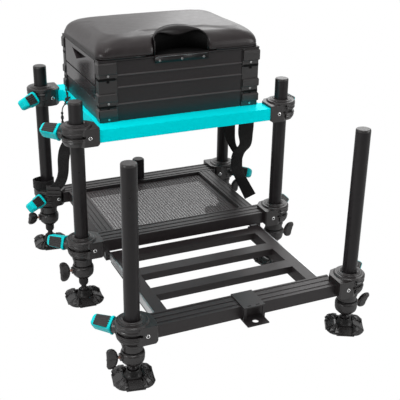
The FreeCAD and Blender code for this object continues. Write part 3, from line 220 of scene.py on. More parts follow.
NODE_FINISH = (
    (leg_black, ("frame_leg_tubes", "inner_leg", "footplate_tube", "accessory_post")),
    (anodised, ("tray_rails", "tray_runners", "footplate_frame")),
    (knob_blue, ("seat_knob", "tray_knob", "footplate_knob")),
    (box_black, ("box_lower_unit", "box_middle_unit", "box_upper_unit", "lid_shell")),
    (turquoise, "seat_frame_rails"), (bare_metal, "footplate_slide_bars"), (mesh_steel, "tray_mesh_floor"),
    (gloss_panel, "side_drawer"), (pin_metal, "catch_pins"), (moulding, "handle_pocket"),
    (rivet_metal, "handle_rivets"), (steel_black, "front_bracket"), (rubber, "mud_foot"),
)


def node_material(name):
    """The look that the start of a node's name gives it; every other node is black nylon."""
    return next((mat for mat, start in NODE_FINISH if name.startswith(start)), nylon)


for node_name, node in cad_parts.items():
    for index in range(len(node.data.materials)):
        node.data.materials[index] = node_material(node_name)


# Mesh helpers

def new_piece(name, bm, mat, smooth=True):
    mesh = bpy.data.meshes.new(name)
    bm.normal_update()
    bm.to_mesh(mesh)
    bm.free()
    piece = bpy.data.objects.new(name, mesh)
    bpy.context.scene.collection.objects.link(piece)
    mesh.materials.append(mat)
    for polygon in mesh.polygons:
        polygon.use_smooth = smooth
    return piece


def outward(bm):
    bmesh.ops.recalc_face_normals(bm, faces=bm.faces)


def ride(piece, body):
    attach(piece, body)
    return piece


def box_piece(name, bm, mat, body, smooth=False):
    """A piece drawn about the middle of the frame legs, moved to its place in the row frame."""
    outward(bm)
    piece = new_piece(name, bm, mat, smooth)
    piece.data.transform(Matrix.Translation((0, SHIFT, 0)))
    return ride(piece, body)


def box(bm, x0, x1, y0, y1, z0, z1):
    """Adds a box between two opposite corners."""
    for vertex in bmesh.ops.create_cube(bm, size=1.0)["verts"]:
        vertex.co.x = x1 if vertex.co.x > 0 else x0
        vertex.co.y = y1 if vertex.co.y > 0 else y0
        vertex.co.z = z1 if vertex.co.z > 0 else z0


def circle(steps):
    """Points evenly spaced round a circle of radius one."""
    angles = [2 * math.pi * step / steps for step in range(steps)]
    return [(math.cos(angle), math.sin(angle)) for angle in angles]


def direction(points, index):
    """The way a line of points runs at one of them."""
    return (points[min(index + 1, len(points) - 1)] - points[max(index - 1, 0)]).normalized()


def turned(bm, profile, centre, axis, steps=32):
    """Adds a solid of revolution: radius and height pairs along an axis from a centre."""
    turn = Vector((0, 0, 1)).rotation_difference(Vector(axis)).to_matrix()
    rings = []
    for radius, height in profile:
        spots = circle(steps) if radius > 0 else [(0, 0)]
        rings.append([bm.verts.new(centre + turn @ Vector((radius * x, radius * y, height)))
                      for x, y in spots])
    for low, high in zip(rings, rings[1:]):
        for index in range(steps):
            following = (index + 1) % steps
            if len(low) == 1:
                bm.faces.new((low[0], high[following], high[index]))
            elif len(high) == 1:
                bm.faces.new((low[index], low[following], high[0]))
            else:
                bm.faces.new((low[index], low[following], high[following], high[index]))


def rounded_loop(half_x, half_y, radius, z, corner_steps=12, side_steps=24):
    """Points round a rounded rectangle, evenly spread along its sides and corners."""
    arcs = []
    for quarter, (sx, sy) in enumerate(((1, 1), (-1, 1), (-1, -1), (1, -1))):
        x, y = sx * (half_x - radius), sy * (half_y - radius)
        angles = [math.radians(90 * quarter + 90 * step / corner_steps) for step in range(corner_steps + 1)]
        arcs.append([Vector((x + radius * math.cos(angle), y + radius * math.sin(angle), z))
                     for angle in angles])
    points = []
    for arc, following in zip(arcs, arcs[1:] + arcs[:1]):
        points += arc
        points += [arc[-1].lerp(following[0], step / side_steps) for step in range(1, side_steps)]
    return points


def skin(bm, loops):
    """Adds a closed form through a row of loops."""
    rings = [[bm.verts.new(point) for point in loop] for loop in loops]
    count = len(rings[0])
    for low, high in zip(rings, rings[1:]):
        for index in range(count):
            following = (index + 1) % count
            bm.faces.new((low[index], low[following], high[following], high[index]))
    bm.faces.new(rings[0][::-1])
    bm.faces.new(rings[-1])


# Camera and light

CAMERA_AZIMUTH = math.radians(-24.346)
CAMERA_ELEVATION = math.radians(24.181)
CAMERA_ROLL = math.radians(0.958)
CAMERA_PLACE = (-802.63, -2062.70, 1162.62)
CAMERA_LENS = 74.64
CAMERA_SENSOR = 36.0
SKY_FRONT = 0.20
SKY_BEHIND = 0.85
SKY_ABOVE = 0.55
WHITE = (1, 1, 1, 1)
LIGHTS = (
    ("key", (-900, -500, 2300), 1.2, 46.0, False),
    ("fill", (1700, -1700, 900), 1.0, 14.0, True),
    ("back", (1250, 1550, 1550), 1.3, 9.0, True),
    ("side", (-1700, -900, 620), 0.5, 7.0, True),
    ("front", (-500, -1900, 2500), 0.9, 9.0, True),
)
LIGHT_TARGET = (0, -150, 300)
FLOOR_HALF = 4.0
FLOOR_DROP = 0.0005


def camera():
    azimuth, elevation, roll = CAMERA_AZIMUTH, CAMERA_ELEVATION, CAMERA_ROLL
    back = Vector((math.sin(azimuth) * math.cos(elevation), -math.cos(azimuth) * math.cos(elevation),
                   math.sin(elevation)))
    right = Vector((math.cos(azimuth), math.sin(azimuth), 0))
    up = back.cross(right)
    turned_right = right * math.cos(roll) + up * math.sin(roll)
    turned_up = up * math.cos(roll) - right * math.sin(roll)
    data = bpy.data.cameras.new("camera")
    data.lens = CAMERA_LENS
    data.sensor_width = CAMERA_SENSOR
    viewer = bpy.data.objects.new("camera", data)
    bpy.context.scene.collection.objects.link(viewer)
    basis = Matrix((turned_right, turned_up, back)).transposed().to_4x4()
    basis.translation = place(*CAMERA_PLACE)
    viewer.matrix_world = basis
    bpy.context.scene.camera = viewer


def sky():
    """Light that grows toward the back and overhead, plain white to the camera."""
    world = bpy.data.worlds.new("studio")
    bpy.context.scene.world = world
    world.use_nodes = True
    tree = world.node_tree
    coords = add_node(tree, "TexCoord")
    split = add_node(tree, "SeparateXYZ")
    join(tree, coords, "Generated", split, "Vector")
    total = add_node(tree, "Math", operation="ADD")
    for index, (axis, start, end, low, high) in enumerate((
        ("Y", -0.35, 0.85, SKY_FRONT, SKY_BEHIND), ("Z", 0.35, 0.95, 0.0, SKY_ABOVE),
    )):
        span = {"From Min": start, "From Max": end, "To Min": low, "To Max": high}
        ramp = add_node(tree, "MapRange", span, interpolation_type="SMOOTHSTEP")
        join(tree, split, axis, ramp, "Value")
        join(tree, ramp, "Result", total, index)
    background = tree.nodes["Background"]
    background.inputs["Color"].default_value = WHITE
    join(tree, total, 0, background, "Strength")
    white = add_node(tree, "Background", {"Color": WHITE, "Strength": 1.0})
    path = add_node(tree, "LightPath")
    mix = add_node(tree, "MixShader")
    join(tree, path, "Is Camera Ray", mix, "Fac")
    join(tree, background, 0, mix, 1)
    join(tree, white, 0, mix, 2)
    join(tree, mix, 0, tree.nodes["World Output"], "Surface")


def lamps():
    target = place(*LIGHT_TARGET)
    for name, spot, size, watts, mirrored in LIGHTS:
        where = place(*spot)
        data = bpy.data.lights.new(name, "AREA")
        data.energy = watts
        data.size = size
        lamp = bpy.data.objects.new(name, data)
        lamp.location = where
        lamp.rotation_euler = (target - where).to_track_quat("-Z", "Y").to_euler()
        lamp.visible_glossy = mirrored
        bpy.context.scene.collection.objects.link(lamp)


def stage():
    """A floor just under the feet that the camera doesn't see."""
    bm = bmesh.new()
    bmesh.ops.create_grid(bm, x_segments=1, y_segments=1, size=FLOOR_HALF)
    floor = new_piece("floor", bm, material("floor", (0.45, 0.45, 0.45), 0.9), smooth=False)
    floor.location = (0, 0, -FLOOR_DROP)
    floor.visible_camera = False


camera()
sky()
lamps()
stage()
bpy.context.scene.view_settings.view_transform = "Standard"
bpy.context.scene.view_settings.look = "None"


# Seat cushion

POCKET_HALF = 0.0735
POCKET_MOUTH = -0.1600
POCKET_DEPTH = 0.0520
POCKET_FRONT = -0.1630


def pocket_plan(share, grow=0.0):
    """The hand pocket's outline seen from above, share running from -1 at the left to 1 at the right."""
    angle = share * math.pi / 2
    return (POCKET_HALF + grow) * math.sin(angle), POCKET_MOUTH + (POCKET_DEPTH + grow) * math.cos(angle)


BOX_CORNER = 0.026
EDGE_ROUND = 0.040
CROWN_RISE = 0.0030


def cushion_loops():
    half_x, half_y = BOX_HALF_X + 0.004, BOX_HALF_Y + 0.004
    base = LID_TOP + 0.0006
    shoulder = CUSHION_TOP - base - CROWN_RISE
    sections = [(0.0040, 0.0, 0.0), (0.0015, 0.002, 0.0), (0.0002, 0.0055, 0.0)]
    for step in range(13):
        turn = math.radians(90 * step / 12)
        inset = EDGE_ROUND * (1 - math.cos(turn))
        sections.append((inset, shoulder - EDGE_ROUND + EDGE_ROUND * math.sin(turn), inset * 0.7))
    for step in range(1, 9):
        share = step / 8
        sections.append((EDGE_ROUND + 0.115 * share, shoulder + CROWN_RISE * math.sin(share * math.pi / 2),
                         0.028 + 0.012 * share))
    loops = []
    for inset, height, growth in sections:
        radius = min(BOX_CORNER + growth, half_y - inset - 0.001)
        loops.append([place(0, 0, 0) + point for point in
                      rounded_loop(half_x - inset, half_y - inset, radius, base + height)])
    return loops


def pocket_cutter():
    """The hand pocket's space, to be taken out of the cushion's front."""
    bm = bmesh.new()
    grow = 0.0008
    outline = [(-POCKET_HALF - grow, -0.2), (POCKET_HALF + grow, -0.2)]
    outline += [pocket_plan(1 - step / 16, grow) for step in range(33)]
    skin(bm, [[Vector((x, y + SHIFT, z)) for x, y in outline] for z in (0.60, 0.75)])
    outward(bm)
    return new_piece("cutter", bm, vinyl)


def apply_modifiers(piece):
    graph = bpy.context.evaluated_depsgraph_get()
    mesh = bpy.data.meshes.new_from_object(piece.evaluated_get(graph))
    old = piece.data
    piece.modifiers.clear()
    piece.data = mesh
    bpy.data.meshes.remove(old)


SWELL_CAP = 0.0030
SWELL_SMOOTHING = 4
CLOTH_PRESSURE = 4.0
CLOTH_FRAMES = 20
VOXEL = 0.0045
HELD_HEIGHT = 0.006
HELD_MARGIN = 0.009


def swell(pad):
    """Lets the cover swell as cloth under pressure, each point by a capped amount.

    The base and the form round the hand pocket are held.
    """
    start = [vertex.co.copy() for vertex in pad.data.vertices]
    held = pad.vertex_groups.new(name="held")
    low = min(point.z for point in start)
    anchored = []
    for index, point in enumerate(start):
        near = POCKET_HALF + HELD_MARGIN - abs(point.x)
        deep = POCKET_MOUTH + POCKET_DEPTH + HELD_MARGIN - (point.y - SHIFT)
        if point.z < low + HELD_HEIGHT or (near > 0 and deep > 0):
            anchored.append(index)
    held.add(anchored, 1.0, "REPLACE")
    cloth = pad.modifiers.new("cloth", "CLOTH")
    cloth.settings.vertex_group_mass = "held"
    cloth.settings.use_pressure = True
    cloth.settings.uniform_pressure_force = CLOTH_PRESSURE
    cloth.settings.effector_weights.gravity = 0.0
    cloth.collision_settings.use_collision = False
    cloth.point_cache.frame_start = 1
    cloth.point_cache.frame_end = CLOTH_FRAMES
    for step in range(1, CLOTH_FRAMES + 1):
        bpy.context.scene.frame_set(step)
    apply_modifiers(pad)
    moves = [vertex.co - before for vertex, before in zip(pad.data.vertices, start)]
    for _ in range(SWELL_SMOOTHING):
        sums = [move.copy() for move in moves]
        counts = [1] * len(moves)
        for edge in pad.data.edges:
            for here, there in (edge.vertices, reversed(edge.vertices)):
                sums[here] += moves[there]
                counts[here] += 1
        moves = [total / count for total, count in zip(sums, counts)]
    for index in anchored:
        moves[index] = Vector((0, 0, 0))
    for vertex, before, move in zip(pad.data.vertices, start, moves):
        if move.length > SWELL_CAP:
            move = move * (SWELL_CAP / move.length)
        vertex.co = before + move
    bpy.context.scene.frame_set(1)


def cushion():
    bm = bmesh.new()
    skin(bm, cushion_loops())
    outward(bm)
    pad = new_piece("seat_pad", bm, vinyl)
    cutter = pocket_cutter()
    boolean = pad.modifiers.new("pocket", "BOOLEAN")
    boolean.operation = "DIFFERENCE"
    boolean.object = cutter
    boolean.solver = "EXACT"
    apply_modifiers(pad)
    bpy.data.objects.remove(cutter)
    remesh = pad.modifiers.new("remesh", "REMESH")
    remesh.mode = "VOXEL"
    remesh.voxel_size = VOXEL
    remesh.use_smooth_shade = True
    smooth = pad.modifiers.new("smooth", "SMOOTH")
    smooth.factor = 0.5
    smooth.iterations = 6
    apply_modifiers(pad)
    swell(pad)
    for vertex in pad.data.vertices:
        vertex.co.z = max(vertex.co.z, LID_TOP + 0.0004)
    subdivision = pad.modifiers.new("subdivision", "SUBSURF")
    subdivision.levels = 1
    subdivision.render_levels = 1
    apply_modifiers(pad)
    for polygon in pad.data.polygons:
        polygon.use_smooth = True
    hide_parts("seat_cushion")
    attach(pad, "lid")


cushion()


# Piping round the cushion's base

PIPING_RADIUS = 0.0024
PIPING_RISE = 0.0030
PIPING_PROUD = 0.0022


def piping():
    """A thick round bead between the cushion and the lid, broken at the hand pocket."""
    bm = bmesh.new()
    half_x, half_y = BOX_HALF_X + PIPING_PROUD, BOX_HALF_Y + PIPING_PROUD
    loop = rounded_loop(half_x, half_y, BOX_CORNER, LID_TOP + PIPING_RISE, 8, 12)
    kept = [not (point.y < 1e-5 - half_y and abs(point.x) < POCKET_HALF + 0.003) for point in loop]
    start = next(i for i in range(len(loop)) if kept[i] and not kept[i - 1])
    run = [loop[i] for i in (*range(start, len(loop)), *range(start)) if kept[i]]
    rings = []
    for index, point in enumerate(run):
        along = direction(run, index)
        side = Vector((along.y, -along.x, 0))
        rings.append([place(0, 0, 0) + point + (side * x + Vector((0, 0, y))) * PIPING_RADIUS
                      for x, y in circle(10)])
    skin(bm, rings)
    outward(bm)
    ride(new_piece("cushion_piping", bm, moulding), "lid")


piping()


# Hand pocket: wall, arched lip, floor, flange and strip

ARCH_END = 0.679
ARCH_RISE = 0.026


def arch_height(share):
    return ARCH_END + ARCH_RISE * max(0.0, math.cos(share * math.pi / 2)) ** 0.9


def lip_edge(share):
    """A point of the lip's hanging lower edge: low in the middle, with a crest at each side."""
    angle = share * math.pi / 2
    x = 0.0725 * math.sin(angle)
    y = -0.159 + 0.031 * math.cos(angle)
    reach = min(abs(x) / 0.055, 1.0)
    z = 0.6795 + 0.0125 * math.sin(reach * math.pi / 2) ** 2
    if abs(x) > 0.055:
        z -= 0.011 * ((abs(x) - 0.055) / 0.0175) ** 1.5
    return Vector((x, y, z))


def pocket_piece(name, bm, mat):
    return box_piece(name, bm, mat, "lid", smooth=True)


POCKET_FLOOR = LID_TOP + 0.0003
POCKET_THICK = 0.0022
POCKET_SHARES = [-1 + step / 20 for step in range(41)]


def pocket_wall():
    bm = bmesh.new()
    loops = [(pocket_plan(share), pocket_plan(share, -POCKET_THICK), arch_height(share))
             for share in [-1.0] + POCKET_SHARES + [1.0]]
    for end in (0, -1):
        outer, inner, top = loops[end]
        loops[end] = ((outer[0], POCKET_FRONT), (inner[0], POCKET_FRONT), top - 0.0015)
    rings = []
    for outer, inner, top in loops:
        ridge = Vector((*outer, top)).lerp(Vector((*inner, top)), 0.4)
        rings.append([Vector((*outer, POCKET_FLOOR)), Vector((*outer, top - 0.0008)), ridge,
                      Vector((*inner, top - 0.0008)), Vector((*inner, POCKET_FLOOR))])
    skin(bm, rings)
    piece = pocket_piece("pocket_wall", bm, moulding)
    # The wall's inward faces take the painted shade black, standing in for the shade inside the pocket.
    piece.data.materials.append(painted_shade_black)
    for polygon in piece.data.polygons:
        middle = polygon.center - Vector((0, SHIFT, 0))
        facing = polygon.normal
        inward = facing.dot(Vector((-middle.x, POCKET_MOUTH - middle.y, 0))) > 0
        if inward and facing.z < 0.4 and abs(facing.y) + abs(facing.x) > 0.5:
            polygon.material_index = 1
    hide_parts("handle_pocket")


def grip_lip():
    bm = bmesh.new()
    rings = []
    for share in POCKET_SHARES:
        back = Vector((*pocket_plan(share, 0.0006), arch_height(share) - 0.001))
        edge = lip_edge(share)
        crown = Vector(((back.x + edge.x) / 2, edge.y - 0.004 * math.cos(share * math.pi / 2),
                        max(back.z + 0.0022, edge.z)))
        upper, lower = [], []
        for step in range(9):
            t = step / 8
            point = back * (1 - t) ** 2 + crown * (2 * t * (1 - t)) + edge * t ** 2
            upper.append(point)
            lower.append(point + Vector((0, 0.0030 * t, -0.0030 * (1 - t) - 0.0004)))
        rings.append(upper + lower[::-1])
    skin(bm, rings)
    pocket_piece("grip_lip", bm, moulding)


def pocket_floor():
    bm = bmesh.new()
    outline = [(-POCKET_HALF, POCKET_FRONT), (POCKET_HALF, POCKET_FRONT)]
    outline += [pocket_plan(1 - step / 16, -0.0004) for step in range(33)]
    skin(bm, [[Vector((x, y, z)) for x, y in outline] for z in (POCKET_FLOOR, POCKET_FLOOR + POCKET_THICK)])
    # The pocket's floor is painted shade black.
    pocket_piece("pocket_floor", bm, painted_shade_black)


def pocket_plates():
    """The flange down the box's front and the bright strip along its top."""
    flange, strip = bmesh.new(), bmesh.new()
    top = POCKET_FLOOR + POCKET_THICK
    box(flange, -POCKET_HALF, POCKET_HALF, POCKET_FRONT - 0.0026, POCKET_FRONT - 0.0004, 0.6232, top)
    box(strip, -0.0705, 0.0705, POCKET_FRONT - 0.0030, POCKET_FRONT - 0.0024, 0.6383, 0.6390)
    pocket_piece("pocket_flange", flange, moulding)
    pocket_piece("bright_strip", strip, strip_metal)


pocket_wall()
pocket_floor()
grip_lip()
pocket_plates()


# Raised blocks at the box corners with painted shade in the latch slots between them, and ledges along the
# front and rear panels in a lighter black that paints their highlight

BLOCK_WIDTH = 0.048
BLOCK_RETURN = 0.024
SLOT_PROUD = 0.0003
TAB_SPANS = ((0.4945, 0.5165), (0.5350, 0.5565), (0.6055, 0.6345))
SLOT_SPANS = ((0.5195, 0.5255), (0.5895, 0.5960))
LEDGES = (0.5265, 0.5700, 0.6010)


def wrap_outline(proud, trim):
    """The plan of a plate that wraps a corner of the box, its sides shortened by a trim."""
    x, y = BOX_HALF_X + CORNER_PROUD, BOX_HALF_Y + CORNER_PROUD
    cut = 0.0022
    return [
        (x - BLOCK_WIDTH + trim, y - 0.0006), (x - BLOCK_WIDTH + trim, y + proud),
        (x + proud - cut, y + proud), (x + proud, y + proud - cut),
        (x + proud, y - BLOCK_RETURN + trim), (x - 0.0006, y - BLOCK_RETURN + trim),
        (x - 0.0006, y - 0.0006),
    ]


def wrapped(bm, side_x, side_y, sections):
    """Adds a form that wraps a corner of the box, from heights with their proud and trim."""
    skin(bm, [[Vector((side_x * x, side_y * y, z)) for x, y in wrap_outline(proud, trim)]
              for z, proud, trim in sections])


def corner_tabs():
    for end, side_x, side_y in SIDE_ENDS:
        tabs, slots = bmesh.new(), bmesh.new()
        for low, high in TAB_SPANS:
            wrapped(tabs, side_x, side_y, ((low, 0.0014, 0.0030), (low + 0.0012, 0.0028, 0.0020),
                                           (high - 0.0034, 0.0028, 0.0020), (high, 0.0004, 0.0036)))
        middle = side_x * (BOX_HALF_X + CORNER_PROUD - BLOCK_WIDTH / 2)
        face = side_y * (BOX_HALF_Y + CORNER_PROUD)
        near, far = sorted((face, face + side_y * SLOT_PROUD))
        # The slots and the small patches under them are drawn in painted shade black, standing in for the
        # shade in the gaps between the blocks.
        for low, high in SLOT_SPANS:
            wrapped(slots, side_x, side_y, ((low, SLOT_PROUD, 0.0050), (high, SLOT_PROUD, 0.0050)))
            box(slots, middle - 0.0035, middle + 0.0035, near, far, low - 0.0055, low)
        box_piece("corner_tabs_" + end, tabs, nylon, "seat_frame")
        box_piece("slot_shade_" + end, slots, painted_shade_black, "seat_frame")


def panel_ledges():
    half = BOX_HALF_X + CORNER_PROUD - BLOCK_WIDTH - 0.0004
    back, front = BOX_HALF_Y - 0.0012, BOX_HALF_Y + 0.0022
    for end, side_y in DEPTHS:
        ledges = bmesh.new()
        for level in LEDGES:
            profile = ((back, level + 0.0034), (front, level),
                       (front, level - 0.0014), (back, level - 0.0028))
            skin(ledges, [[Vector((x, side_y * y, z)) for y, z in profile] for x in (-half, half)])
        # The ledges take the lighter black that paints their highlight.
        box_piece("panel_ledges_" + end, ledges, ledge_highlight_black, "seat_frame")


corner_tabs()
panel_ledges()


# Clamp knobs: rounded square grips with two ribbed black pads

KNOB_BODY = (
    (0.0455, 0.0176, 0.0090), (0.0462, 0.0186, 0.0090), (0.0504, 0.0186, 0.0090), (0.0512, 0.0176, 0.0086),
    (0.0516, 0.0166, 0.0062), (0.0700, 0.0158, 0.0060), (0.0905, 0.0148, 0.0058), (0.0955, 0.0128, 0.0054),
    (0.0985, 0.0098, 0.0046), (0.0996, 0.0070, 0.0036),
)
PAD_RIBS = 5
KNOB_TURN = {
    "seat_knob_front_left": 34, "seat_knob_front_right": 20, "seat_knob_rear_left": 54,
    "seat_knob_rear_right": 8, "tray_knob_front_left": 72, "tray_knob_front_right": 35,
    "tray_knob_rear_left": 48, "tray_knob_rear_right": 60, "footplate_knob_left": 34,
    "footplate_knob_right": 15,
}
KNOB_RISE = 0.0015


PAD_START, PAD_END = 0.0524, 0.0928
PAD_ROWS = 12
KNOB_STEM = ((0, 0.0358), (0.0059, 0.0358), (0.0059, 0.0402), (0.0140, 0.0404), (0.0148, 0.0412),
             (0.0148, 0.0456), (0, 0.0460))


def grip_pad(bm, frame_of, way):
    """Adds one ribbed pad, tapered toward the grip's end, on the side that way gives."""
    columns = 4 * PAD_RIBS + 1
    rings = []
    for row in range(PAD_ROWS + 1):
        share = row / PAD_ROWS
        along = PAD_START + (PAD_END - PAD_START) * share
        half = 0.0165 - 0.0020 * share
        width = (half - 0.0017) * (1.0 if 0 < row < PAD_ROWS else 0.9)
        tip = max(0.0, (share - 0.80) / 0.20)
        lift = 0.0014 * (1 - 1.3 * tip ** 2) * min(1.0, share / 0.05 + 0.2)
        top, bottom = [], []
        for column in range(columns):
            across = -1 + 2 * column / (columns - 1)
            rib = 0.0006 * math.cos(across * math.pi * PAD_RIBS) * (1 - tip)
            fall = 0.0014 * abs(across) ** 8
            top.append(frame_of(width * across, way * (half + lift + rib - fall - 0.0004), along))
            bottom.append(frame_of(width * across, way * (half - 0.0030), along))
        rings.append(top + bottom[::-1])
    skin(bm, rings)


def clamp_knob(node, centre, axis):
    turn = math.radians(KNOB_TURN[node])
    level = Vector((0, 0, 1)).cross(axis).normalized()
    if level.y > 0:
        level = -level
    up = Vector((0, 0, 1)) * math.cos(turn) + level * math.sin(turn)
    side = up.cross(axis).normalized()

    def frame_of(u, v, along):
        return centre + side * u + up * v + axis * along

    body, pads, shank = bmesh.new(), bmesh.new(), bmesh.new()
    skin(body, [[frame_of(*point) for point in rounded_loop(half, half, radius, along, 6, 1)]
                for along, half, radius in KNOB_BODY])
    for way in (1, -1):
        grip_pad(pads, frame_of, way)
    outward(body)
    outward(pads)
    turned(shank, KNOB_STEM, centre, axis, 32)
    grip = new_piece(node + "_grip", body, knob_blue)
    for polygon in grip.data.polygons:
        polygon.use_smooth = len(polygon.vertices) == 4
    for piece in (grip, new_piece(node + "_pads", pads, pad_black), new_piece(node + "_stem", shank, nylon)):
        ride(piece, node)
    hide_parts(node)


def clamp_knobs():
    for group, bolt, _ in FRAMES:
        for name, sx, sy in CORNERS:
            axis = Vector((sx, -sy, 0)).normalized()
            clamp_knob(f"{group}_knob_{name}", leg_point(sx, sy, bolt + KNOB_RISE), axis)
    for name, sx in SIDES:
        axis = Vector((sx, 1, 0)).normalized()
        clamp_knob("footplate_knob_" + name, footplate_point(sx, FOOTPLATE_BOLT + KNOB_RISE), axis)


clamp_knobs()


# Mud feet: faceted upturned lobes with flat scoops between them

FOOT_TURN = {
    "mud_foot_front_left": 41, "mud_foot_front_right": 60, "mud_foot_rear_left": 38,
    "mud_foot_rear_right": 40, "mud_foot_footplate_left": 34, "mud_foot_footplate_right": 17,
}
LOBE_STATIONS = ((-22, -2.2, 0.62), (-13, 1.2, 0.90), (-8, -1.2, 0.90), (0, 1.8, 1.0), (8, -1.2, 0.90),
                 (13, 1.2, 0.90), (22, -2.2, 0.62))
SCOOP = ((22.0, 12.0, 0.8, 14.2), (26.0, 13.6, 0.6, 13.4), (46.0, 22.4, 0.3, 3.6), (48.4, 21.6, 0.3, 3.0))
SCOOP_RIB = ((21.0, 12.8, 16.0), (27.0, 14.4, 14.8), (46.4, 22.6, 4.8))
RIB_SECTION = ((-0.9, 2.0), (0.9, 2.0), (0.5, None), (-0.5, None))
HUB = ((0, 0.0), (0.0370, 0.0), (0.0400, 0.0022), (0.0400, 0.0040), (0.0300, 0.0075), (0.0225, 0.0120),
       (0.0178, 0.0180), (0.0160, 0.0250), (0.0150, 0.0285), (0.0140, 0.0292), (0.0130, 0.0282),
       (0.0116, 0.0270), (0.0, 0.0160))


def lobe_ring(middle, offset, pleat, rise):
    """The section of a lobe, from its rim on the ground over a pleated shoulder to its crown."""
    rim = 54.5 - 0.011 * offset * offset
    shoulder = 49.0 + pleat * 0.6 - 0.008 * offset * offset
    section = ((1.0, 22.0, 2.0), (1.05, rim - 1.5, 0.3), (1.15, rim + 0.8, 3.0),
               (1.20, rim + 1.8 + pleat * 0.5, 8.0), (1.1, shoulder, 3.5 + 9.0 * rise + pleat * 0.7),
               (0.85, 41.0, 3.0 + 14.5 * rise + pleat * 0.5), (0.55, 32.0, 2.0 + 18.5 * rise),
               (0.70, 26.5, 1.0 + 15.0 * rise))
    points = []
    for share, radius, height in section:
        turn = math.radians(middle + offset * share)
        points.append(Vector((radius * math.cos(turn), radius * math.sin(turn), height)))
    return points


def mud_foot(node, centre):
    solid, hub = bmesh.new(), bmesh.new()
    forms = []
    for quarter in range(4):
        middle = FOOT_TURN[node] + 90 * quarter
        facing = math.radians(middle + 45)
        out = Vector((math.cos(facing), math.sin(facing), 0))
        side = Vector((-math.sin(facing), math.cos(facing), 0))

        def at(reach, across, height):
            return out * reach + side * across + Vector((0, 0, height))

        forms.append([lobe_ring(middle, *station) for station in LOBE_STATIONS])
        forms.append([[at(reach, sign * half, height)
                       for sign, height in ((-1, low), (1, low), (1, high), (-1, high))]
                      for reach, half, low, high in SCOOP])
        for edge in (-1, 1):
            forms.append([[at(reach, edge * half + across, low or high) for across, low in RIB_SECTION]
                          for reach, half, high in SCOOP_RIB])
    for form in forms:
        skin(solid, [[centre + point / 1000 for point in ring] for ring in form])
    turned(hub, HUB, centre, (0, 0, 1), 40)
    outward(solid)
    outward(hub)
    lobes = new_piece(node + "_lobes", solid, rubber, smooth=False)
    # The hub is drawn in the darker rubber that paints shade into its cup.
    for piece in (lobes, new_piece(node + "_hub", hub, shaded_hub_rubber)):
        ride(piece, node)
    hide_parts(node)


def mud_feet():
    for name, sx, sy in CORNERS:
        mud_foot("mud_foot_" + name, leg_point(sx, sy, 0))
    for name, sx in SIDES:
        mud_foot("mud_foot_footplate_" + name, footplate_point(sx, 0))


mud_feet()


# Raised rings on the clamps, barrels on the adjuster collars and the wings of their screws

CLAMP_STEPS = ((0.0186, 0.0310), (0.0222, 0.0326), (0.0238, 0.0312), (0.0268, 0.0306), (0.0284, 0.0288),
               (0.0316, 0.0282), (0.0332, 0.0262), (0.0364, 0.0254), (0.0380, 0.0234), (0.0391, 0.0214),
               (0.0391, 0.0180), (0.0376, 0.0150), (0.0389, 0.0128), (0.0389, 0.0100), (0.0368, 0.0080))
LOWER_STEPS = ((0.0340, -0.0020), (0.0378, -0.0026), (0.0384, -0.0050), (0.0366, -0.0085), (0.0374, -0.0112),
               (0.0364, -0.0145), (0.0330, -0.0205))


def ring_piece(name, profile, centre, body, mat=nylon, span=360, start=0, steps=64):
    """An open band of revolution over part of a circle, from radius and height pairs."""
    bm = bmesh.new()
    rows = []
    for index in range(steps + 1):
        angle = math.radians(start + span * index / steps)
        rows.append([bm.verts.new(centre + Vector((r * math.cos(angle), r * math.sin(angle), z)))
                     for r, z in profile])
    for low, high in zip(rows, rows[1:]):
        for index in range(len(profile) - 1):
            bm.faces.new((low[index], high[index], high[index + 1], low[index + 1]))
    bmesh.ops.remove_doubles(bm, verts=bm.verts, dist=1e-6)
    outward(bm)
    ride(new_piece(name, bm, mat, smooth=False), body)


def clamp_rings():
    places = [(f"{group}_rings_{end}", sx, leg_point(sx, sy, bolt), body)
              for group, bolt, body in FRAMES for end, sx, sy in SIDE_ENDS]
    for end, sx in SIDES:
        places.append(("footplate_rings_" + end, sx, footplate_point(sx, FOOTPLATE_BOLT), "footplate"))
    for name, sx, centre, body in places:
        ring_piece(name + "_top", CLAMP_STEPS[:9], centre, body)
        for part, steps in (("_band", CLAMP_STEPS[8:]), ("_skirt", LOWER_STEPS)):
            ring_piece(name + part, steps, centre, body, span=184, start=-90 * sx - 2)


COLLAR_HEIGHT = 0.0875
FOOTPLATE_COLLAR_HEIGHT = 0.063
COLLAR_BARREL = ((0.0243, 0.0010), (0.0281, 0.0010), (0.0284, 0.0060), (0.0282, 0.0105), (0.0270, 0.0140),
                 (0.0250, 0.0158), (0.0243, 0.0158))
COLLAR_CONE = ((0.0280, 0.0012), (0.0276, -0.0048), (0.0262, -0.0096), (0.0225, -0.0140), (0.0185, -0.0180),
               (0.0152, -0.0200))
COLLAR_LIP = ((0.0243, 0.0330), (0.0262, 0.0334), (0.0266, 0.0365), (0.0262, 0.0400), (0.0243, 0.0415))
COLLAR_GROOVE = ((0.0247, 0.0172), (0.0247, 0.0205))
WING_OUTLINE = ((0.5, 7.0), (3.0, 15.0), (8.0, 22.5), (14.0, 26.0), (20.0, 26.5), (25.0, 24.5), (27.5, 19.0),
                (27.0, 9.0))
WING_TURN = {"footplate_right": 24, "front_right": 18, "rear_left": 30, "rear_right": 20, "front_left": -8}
WING_LAYERS = ((-5.6, 0.66), (-4.0, 0.93), (-1.6, 1.0), (1.6, 1.0), (4.0, 0.93), (5.6, 0.66))
WING_RIDGE = ((0.6, 3.6), (6.0, 5.4), (22.0, 5.0), (27.4, 2.4))
RIDGE_SECTION = ((-1, -0.4), (0, -2.6), (1, -0.4), (1, 0.4), (0, 2.6), (-1, 0.4))
WING_SHANK = ((0, 0.0265), (0.0038, 0.0265), (0.0038, 0.0322), (0.0034, 0.0326), (0.0034, 0.0372),
              (0, 0.0372))
WING_START = 35.0
WING_MIDDLE = 14.0
SCREW_RISE = 0.004


